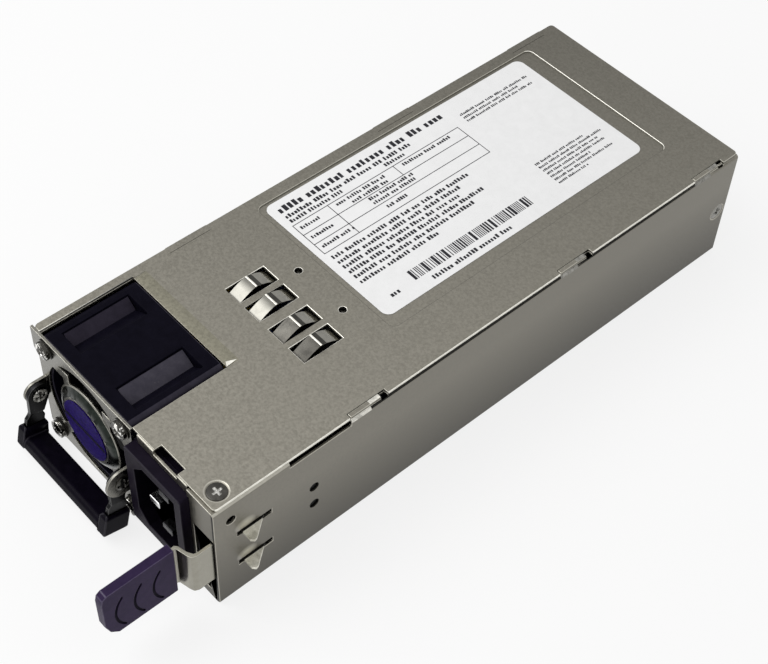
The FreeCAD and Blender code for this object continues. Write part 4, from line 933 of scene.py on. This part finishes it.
def make_label_print():
    """Rows are set out in mm across the label and along it: how far across, where each starts and stops."""
    dice = random.Random(41)
    low, high = corners("rating_label")
    left, front = low.x, low.y
    points, sizes = [], []

    def rows(height, *lines):
        for across, start, stop in lines:
            printed_row(points, sizes, left + across, front + start, front + stop, height, dice)

    rows(2.3, (3.4, 2.6, 62))
    rows(1.4, (6.3, 2.6, 48))
    rows(1.3, (8.3, 2.6, 21), (8.3, 36, 45))
    rows(0.85, (6.8, 66, 93), (8.3, 66, 88), (9.8, 66, 92))
    rows(1.15, (11.9, 3.2, 11), (11.3, 16, 34), (13.2, 20, 33), (11.3, 40, 58), (16.3, 3.2, 12),
         (15.5, 24, 40), (17.3, 24, 41), (20.6, 3.2, 15), (20.6, 26, 35))
    rows(1.35, (25.3, 2.6, 53), (27.5, 2.6, 47), (29.7, 2.6, 44), (31.9, 2.6, 51), (34.1, 2.6, 46),
         (36.3, 2.6, 31))
    rows(0.8, (34.8, 68, 88), (36.3, 68, 93), (37.8, 68, 90), (39.3, 68, 92), (40.8, 68, 84),
         (42.3, 68, 91), (43.8, 68, 80))
    rows(1.5, (44.8, 5.5, 9.5))
    rows(1.4, (47.2, 18, 47))
    rule, table_front, table_back = 0.22, 2.0, 62.0
    for across in (10.0, 14.4, 18.8, 23.0):
        points.append((left + across, front + (table_front + table_back) / 2))
        sizes.append((rule, table_back - table_front + 0.2))
    for along, start, stop in ((table_front, 10.0, 23.0), (14.0, 10.0, 23.0), (37.5, 10.0, 14.4),
                               (table_back, 10.0, 23.0)):
        points.append((left + (start + stop) / 2, front + along))
        sizes.append((stop - start + 0.2, rule))
    bar_length, along, bars_end = 3.6, 14.0, 57.5
    while along < bars_end:
        wide = dice.choice((0.28, 0.28, 0.55, 0.85))
        points.append((left + 43.2, front + along + wide / 2))
        sizes.append((bar_length, wide))
        along += wide + dice.choice((0.3, 0.3, 0.6))
    piece = grown("label_print", print_tree, [(x, y, high.z + 0.012) for x, y in points],
                  {"size": [(a * mm, b * mm, 0) for a, b in sizes]}, Thickness=0.02 * mm, Finish=ink)
    settle(piece, body="chassis", slot="label")


softened("rating_label", "label_sheet", 0.05, (paper,))
make_label_print()


# ---- fan ----

def make_fan_body():
    """The square frame, with each outer recess bounded by the round duct and a sloping outer side."""
    plain, near_slope, far_slope, edge = range(4)
    low, high = corners("fan_frame")
    centre = (low + high) / 2
    half = (high.z - low.z) / 2
    duct, bridge = half + 0.8, 4.05
    front, back = low.y + bridge, high.y - bridge
    inner, meet, outer, floor = 7.15, 12.0, half - 3.55, half - 5.25
    steps = 7
    along_arc = [inner + (meet - inner) * i / steps for i in range(steps + 1)]
    outline = [(a, math.sqrt(duct ** 2 - a ** 2)) for a in along_arc]
    outline += [(outer, half - 0.35), (outer, floor), (inner, floor)]
    shape = node_shape("fan_frame")
    for turn in range(4):
        c, s = math.cos(turn * math.pi / 2), math.sin(turn * math.pi / 2)
        for side in (-1, 1):
            ring = [(centre.x + side * a * c - b * s, centre.z + side * a * s + b * c) for a, b in outline]
            # the recesses' slopes take the painted lit skin on the right half and the painted shaded skin on
            # the left
            for face in prism(shape, ring, front, back, "y"):
                if face.normal.x > 0.2:
                    right_half = face.calc_center_median().x / mm > centre.x
                    face.material_index = near_slope if right_half else far_slope
    piece = new_piece("fan_body", shape, (fan_black, scoop_skin, far_scoop_skin, fan_edge))
    rounded_off(piece, 0.3, 3, finish=edge)
    refinish(piece, plain, lambda at, facing, was: was == edge and front - 1 < at.y < back + 1
             and abs(at.x - centre.x) < half - 2)
    # painted highlight along the frame's rounded top right edge
    refinish(piece, edge, lambda at, facing, was: at.x > high.x - 2.4 and at.z > high.z - 2.4
             and facing.x > 0.2 and facing.z > 0.2)
    settle(piece, "fan_frame")


def make_guard():
    """The guard sheet; the drawn cup has a polished wall painted darker as shade, and a narrow rim round the
    disc.
    """
    cup, edge = 1, 2
    low, high = corners("guard_disc")
    centre = (low + high) / 2
    rim_radius, drawn_rim_radius = 10.4, 9.45
    rim = high.y
    shape = node_shape("fan_guard")
    for vertex in shape.verts:
        spot = vertex.co / mm
        across, up = spot.x - centre.x, spot.z - centre.z
        if spot.y < rim + 0.9 and 8.0 < math.hypot(across, up) < 11.0:
            share = drawn_rim_radius / rim_radius
            vertex.co = Vector((centre.x + across * share, spot.y, centre.z + up * share)) * mm
    shape.normal_update()
    for face in shape.faces:
        at = face.calc_center_median() / mm
        in_cup = math.hypot(at.x - centre.x, at.z - centre.z) < 12.3 and at.y < rim + 1.3
        if in_cup and 0.2 < abs(face.normal.y) < 0.97:
            face.material_index = cup
    piece = new_piece("guard_plate", shape, (guard_zinc, cup_metal, guard_edge))
    rounded_off(piece, 0.12, 2, finish=edge)
    settle(piece, "fan_guard")


def make_fan_screws():
    """Pan heads on washers: the head carries painted sparkling highlights, the washer's face is plain and
    its side is painted dark as shade.
    """
    low, high = corners("fan_screws")
    reach, base, washer_height = 2.9, low.y + 2.0, 0.4
    spots = [(x, base, z) for x in (low.x + reach, high.x - reach) for z in (low.z + reach, high.z - reach)]
    head = heads("fan_screw_heads", spots, [(0, -1, 0)] * 4, radius=2.6, edge=1.45, height=2.0, width=0.7,
                 reach=1.3, depth=0.6, washer=reach, washer_height=washer_height, finish=screw_crown)
    ringed(head, Vector((0, 1, 0)), 0.995)
    head.data.materials.append(seam_shade)
    washer_face = base - washer_height - 0.1
    refinish(head, 0, lambda at, facing, was: at.y > washer_face and facing.y < -0.6)
    refinish(head, 2, lambda at, facing, was: at.y > washer_face and facing.y > -0.6)
    settle(head, "fan_screws")


def make_disc():
    """The foil on the hub, with a darker band across it."""
    low, high = corners("guard_disc")
    centre = (low + high) / 2
    foil_share, half_band, around = 0.87, 0.75, 96
    radius = (high.x - low.x) / 2 * foil_share
    band_reach = radius - 0.1
    shape = bmesh.new()
    ring = [(centre.x + radius * math.cos(a), centre.z + radius * math.sin(a))
            for a in (2 * math.pi * i / around for i in range(around))]
    prism(shape, ring, low.y + 0.04, high.y, "y")
    band = rectangle(centre.x - band_reach, centre.x + band_reach,
                     centre.z - half_band, centre.z + half_band)
    prism(shape, band, low.y, low.y + 0.05, "y", finish=1)
    piece = new_piece("hub_disc", shape, (foil, foil_band))
    rounded_off(piece, 0.03, 1)
    settle(piece, "guard_disc")


make_fan_body()
make_guard()
make_fan_screws()
make_disc()


# ---- handle ----

def make_handle_pins():
    """The handle's pins: low plain heads, each with a crown on it; the left ones' crowns carry painted
    sparkling highlights, and the right ones are painted dark as shade.
    """
    low, high = corners("handle_pins")
    middle = (low + high) / 2
    length, crown, set_in = 3.6, 0.72, 0.45
    ends = ((low.x, 1), (low.x + length, -1), (high.x - length, 1), (high.x, -1))
    shape = node_shape("handle_pins")
    for vertex in shape.verts:
        for end, inward in ends:
            if abs(vertex.co.x / mm - end) < 0.05:
                vertex.co.x += inward * set_in * mm
    softened("handle_pins", "handle_pin_shanks", 0.04, (nickel,), shape=shape)
    crowns = heads("rivet_heads", [(end + inward * crown, middle.y, middle.z) for end, inward in ends],
                   [(-inward, 0, 0) for end, inward in ends], radius=2.1, edge=0.35, height=crown, width=0.8,
                   reach=1.7, depth=0.45, finish=crown_metal)
    ringed(crowns, Vector((1, 0, 0)), 0.6)
    # painted shade: the right-hand crowns in dark nickel
    crowns.data.materials.append(nickel)
    refinish(crowns, 2, lambda at, facing, was: at.x > middle.x)
    settle(crowns, body="chassis", slot="nickel_screw")


softened("handle_bail", "handle_strap", 0.12, (dark_steel, dark_edge))
softened("handle_grip", "handle_grip_body", 0.35, (grip_black, grip_edge), segments=3)
make_handle_pins()


# ---- mains inlet and latch ----

def make_inlet():
    """The housing's cavity is painted darker than its face as shade, and the line and neutral blades are
    painted dark as shade, so the earth blade is the bright one.
    """
    low, high = corners("inlet_housing")
    piece = softened("inlet_housing", "inlet_body", 0.25, (inlet_black, inlet_edge, inlet_cavity),
                     segments=3, edge=1)
    # painted shade inside the cavity
    refinish(piece, 2, lambda at, facing, was: at.y > low.y + 1.5 and low.x + 2.0 < at.x < high.x - 2.0
             and low.z + 2.0 < at.z < high.z - 2.0)
    piece = softened("inlet_pins", "inlet_blades", 0.25, (blade_metal, shaded_blade), segments=3, edge=0)
    # painted shade on the line and neutral blades
    earth_height = (corners("inlet_pins")[0].z + corners("inlet_pins")[1].z) / 2
    refinish(piece, 1, lambda at, facing, was: abs(at.z - earth_height) > 3.0)


def make_latch():
    """The spring strip: a softly rounded bend, fins painted near white as a highlight, and painted shade
    where the wall's slots show it and at the fins' roots.
    """
    edge, fin, shaded = 1, 2, 3
    low, high = corners("latch_leaf")
    wall = corners("bottom_tray")[1].x - 0.8
    fin_root, half_slot = wall + 1.2, 0.95
    slot_front, slot_back = front_skin + 5.7, front_skin + 16.1
    fins = [(low.z + high.z) / 2 + side * 6.15 for side in (-1, 1)]
    shape = node_shape("latch_leaf")
    bend = []
    for line in shape.edges:
        ends = [end.co / mm for end in line.verts]
        in_the_bend = all(end.x > low.x + 3.0 and low.y < end.y < front_skin + 4.0 for end in ends)
        if in_the_bend and abs(ends[0].z - ends[1].z) > 12:
            bend.append(line)
    bmesh.ops.bevel(shape, geom=bend, offset=0.5 * mm, segments=4, profile=0.5, affect="EDGES",
                    clamp_overlap=True)
    for height in fins:
        scored(shape, "z", height - half_slot)
        scored(shape, "z", height + half_slot)
    scored(shape, "y", slot_front)
    scored(shape, "y", slot_back)
    scored(shape, "x", fin_root)
    piece = softened("latch_leaf", "latch_strip", 0.1, (latch_metal, cut_edge, fin_highlight, seam_shade),
                     shape=shape, edge=edge)
    # painted shade where the wall's slots show the strip and at the fins' roots; the fins take their painted
    # highlight
    refinish(piece, shaded, lambda at, facing, was: wall - 0.2 < at.x < wall and facing.x > 0.9
             and slot_front < at.y < slot_back and min(abs(at.z - height) for height in fins) < half_slot)
    refinish(piece, fin, lambda at, facing, was: at.x > fin_root)
    refinish(piece, shaded, lambda at, facing, was: wall < at.x < fin_root)


def make_tab():
    """The release tab with its three thin crescent grooves, painted dark inside as shade, and with a painted
    highlight on its rounded edges.
    """
    plain, edge, groove = range(3)
    low, high = corners("latch_tab")
    rim = 1.2

    def on_the_face(at):
        inside = low.y + rim < at.y < high.y - rim and low.z + rim < at.z < high.z - rim
        return inside and at.x > high.x - 1.0

    piece = softened("latch_tab", "latch_tab_body", 0.22, (tab_violet, tab_edge, tab_groove), segments=3,
                     edge=edge)
    refinish(piece, plain, lambda at, facing, was: was == edge and on_the_face(at))
    refinish(piece, groove, lambda at, facing, was: on_the_face(at) and at.x < high.x - 0.06)


make_inlet()
make_latch()
make_tab()


# ---- floor, light and camera ----

def sees_backdrop(tree):
    """1 for rays that show the backdrop: from the camera, off a shiny surface or through a clear one."""
    path = tree.nodes.new("ShaderNodeLightPath").outputs
    seen = plus(tree, path["Is Camera Ray"], path["Is Glossy Ray"])
    return math_node(tree, "ADD", seen, path["Is Transmission Ray"], clamp=True)


def make_floor():
    mesh = bpy.data.meshes.new("floor")
    shape = bmesh.new()
    bmesh.ops.create_grid(shape, x_segments=1, y_segments=1, size=3.0)
    shape.to_mesh(mesh)
    shape.free()
    mesh.transform(Matrix.Translation((0, 0, cad_low.z - 0.02 * mm)))
    floor = bpy.data.objects.new("floor", mesh)
    bpy.context.scene.collection.objects.link(floor)
    material, tree, shader, where = new_finish("pale_floor")
    tone = place(tree, mottle, Vector=where, Light=rgb(0.9, 0.9, 0.9), Dark=rgb(0.88, 0.88, 0.88),
                 Cloud_Scale=8.0, Grain_Scale=60.0, Grain=0.2)
    tree.links.new(tone["Color"], shader.inputs["Base Color"])
    shader.inputs["Roughness"].default_value = 0.9
    shader.inputs["Specular IOR Level"].default_value = 0.0
    glow = add(tree, "ShaderNodeEmission", Color=rgb(1, 1, 1), Strength=1.0)
    blend = add(tree, "ShaderNodeMixShader", i0=times(tree, sees_backdrop(tree), 0.8), i1=shader.outputs[0],
                i2=glow.outputs[0])
    tree.links.new(blend.outputs[0], tree.nodes["Material Output"].inputs["Surface"])
    mesh.materials.append(material)


def soft_light(name, spot, aim, size, power):
    data = bpy.data.lights.new(name, "AREA")
    data.shape = "RECTANGLE"
    data.size, data.size_y = size
    data.energy = power
    lamp = bpy.data.objects.new(name, data)
    bpy.context.scene.collection.objects.link(lamp)
    lamp.location = spot
    lamp.rotation_euler = (Vector(aim) - Vector(spot)).to_track_quat("-Z", "Y").to_euler()


def make_studio():
    world = bpy.data.worlds.new("studio")
    bpy.context.scene.world = world
    world.use_nodes = True
    tree = world.node_tree
    back = tree.nodes["Background"]
    back.inputs["Color"].default_value = rgb(1, 1, 1)
    tree.links.new(spread(tree, sees_backdrop(tree), 0, 1, 0.6, 1.0), back.inputs["Strength"])
    soft_light("key", (-0.30, -0.34, 0.6), (0, -0.03, 0.02), (0.5, 0.5), 2.55)
    soft_light("small", (0.12, -0.55, 0.35), (0, -0.09, 0.02), (0.06, 0.06), 0.2)


def make_camera():
    data = bpy.data.cameras.new("camera")
    data.lens = 73.69
    data.sensor_width = 36.0
    data.clip_start, data.clip_end = 0.01, 10.0
    camera = bpy.data.objects.new("camera", data)
    bpy.context.scene.collection.objects.link(camera)
    camera.location = (203.04 * mm, -202.61 * mm, 338.08 * mm)
    camera.rotation_euler = [math.radians(a) for a in (40.172, -1.924, 48.205)]
    bpy.context.scene.camera = camera


make_floor()
make_studio()
make_camera()
bpy.context.scene.view_settings.view_transform = "Standard"
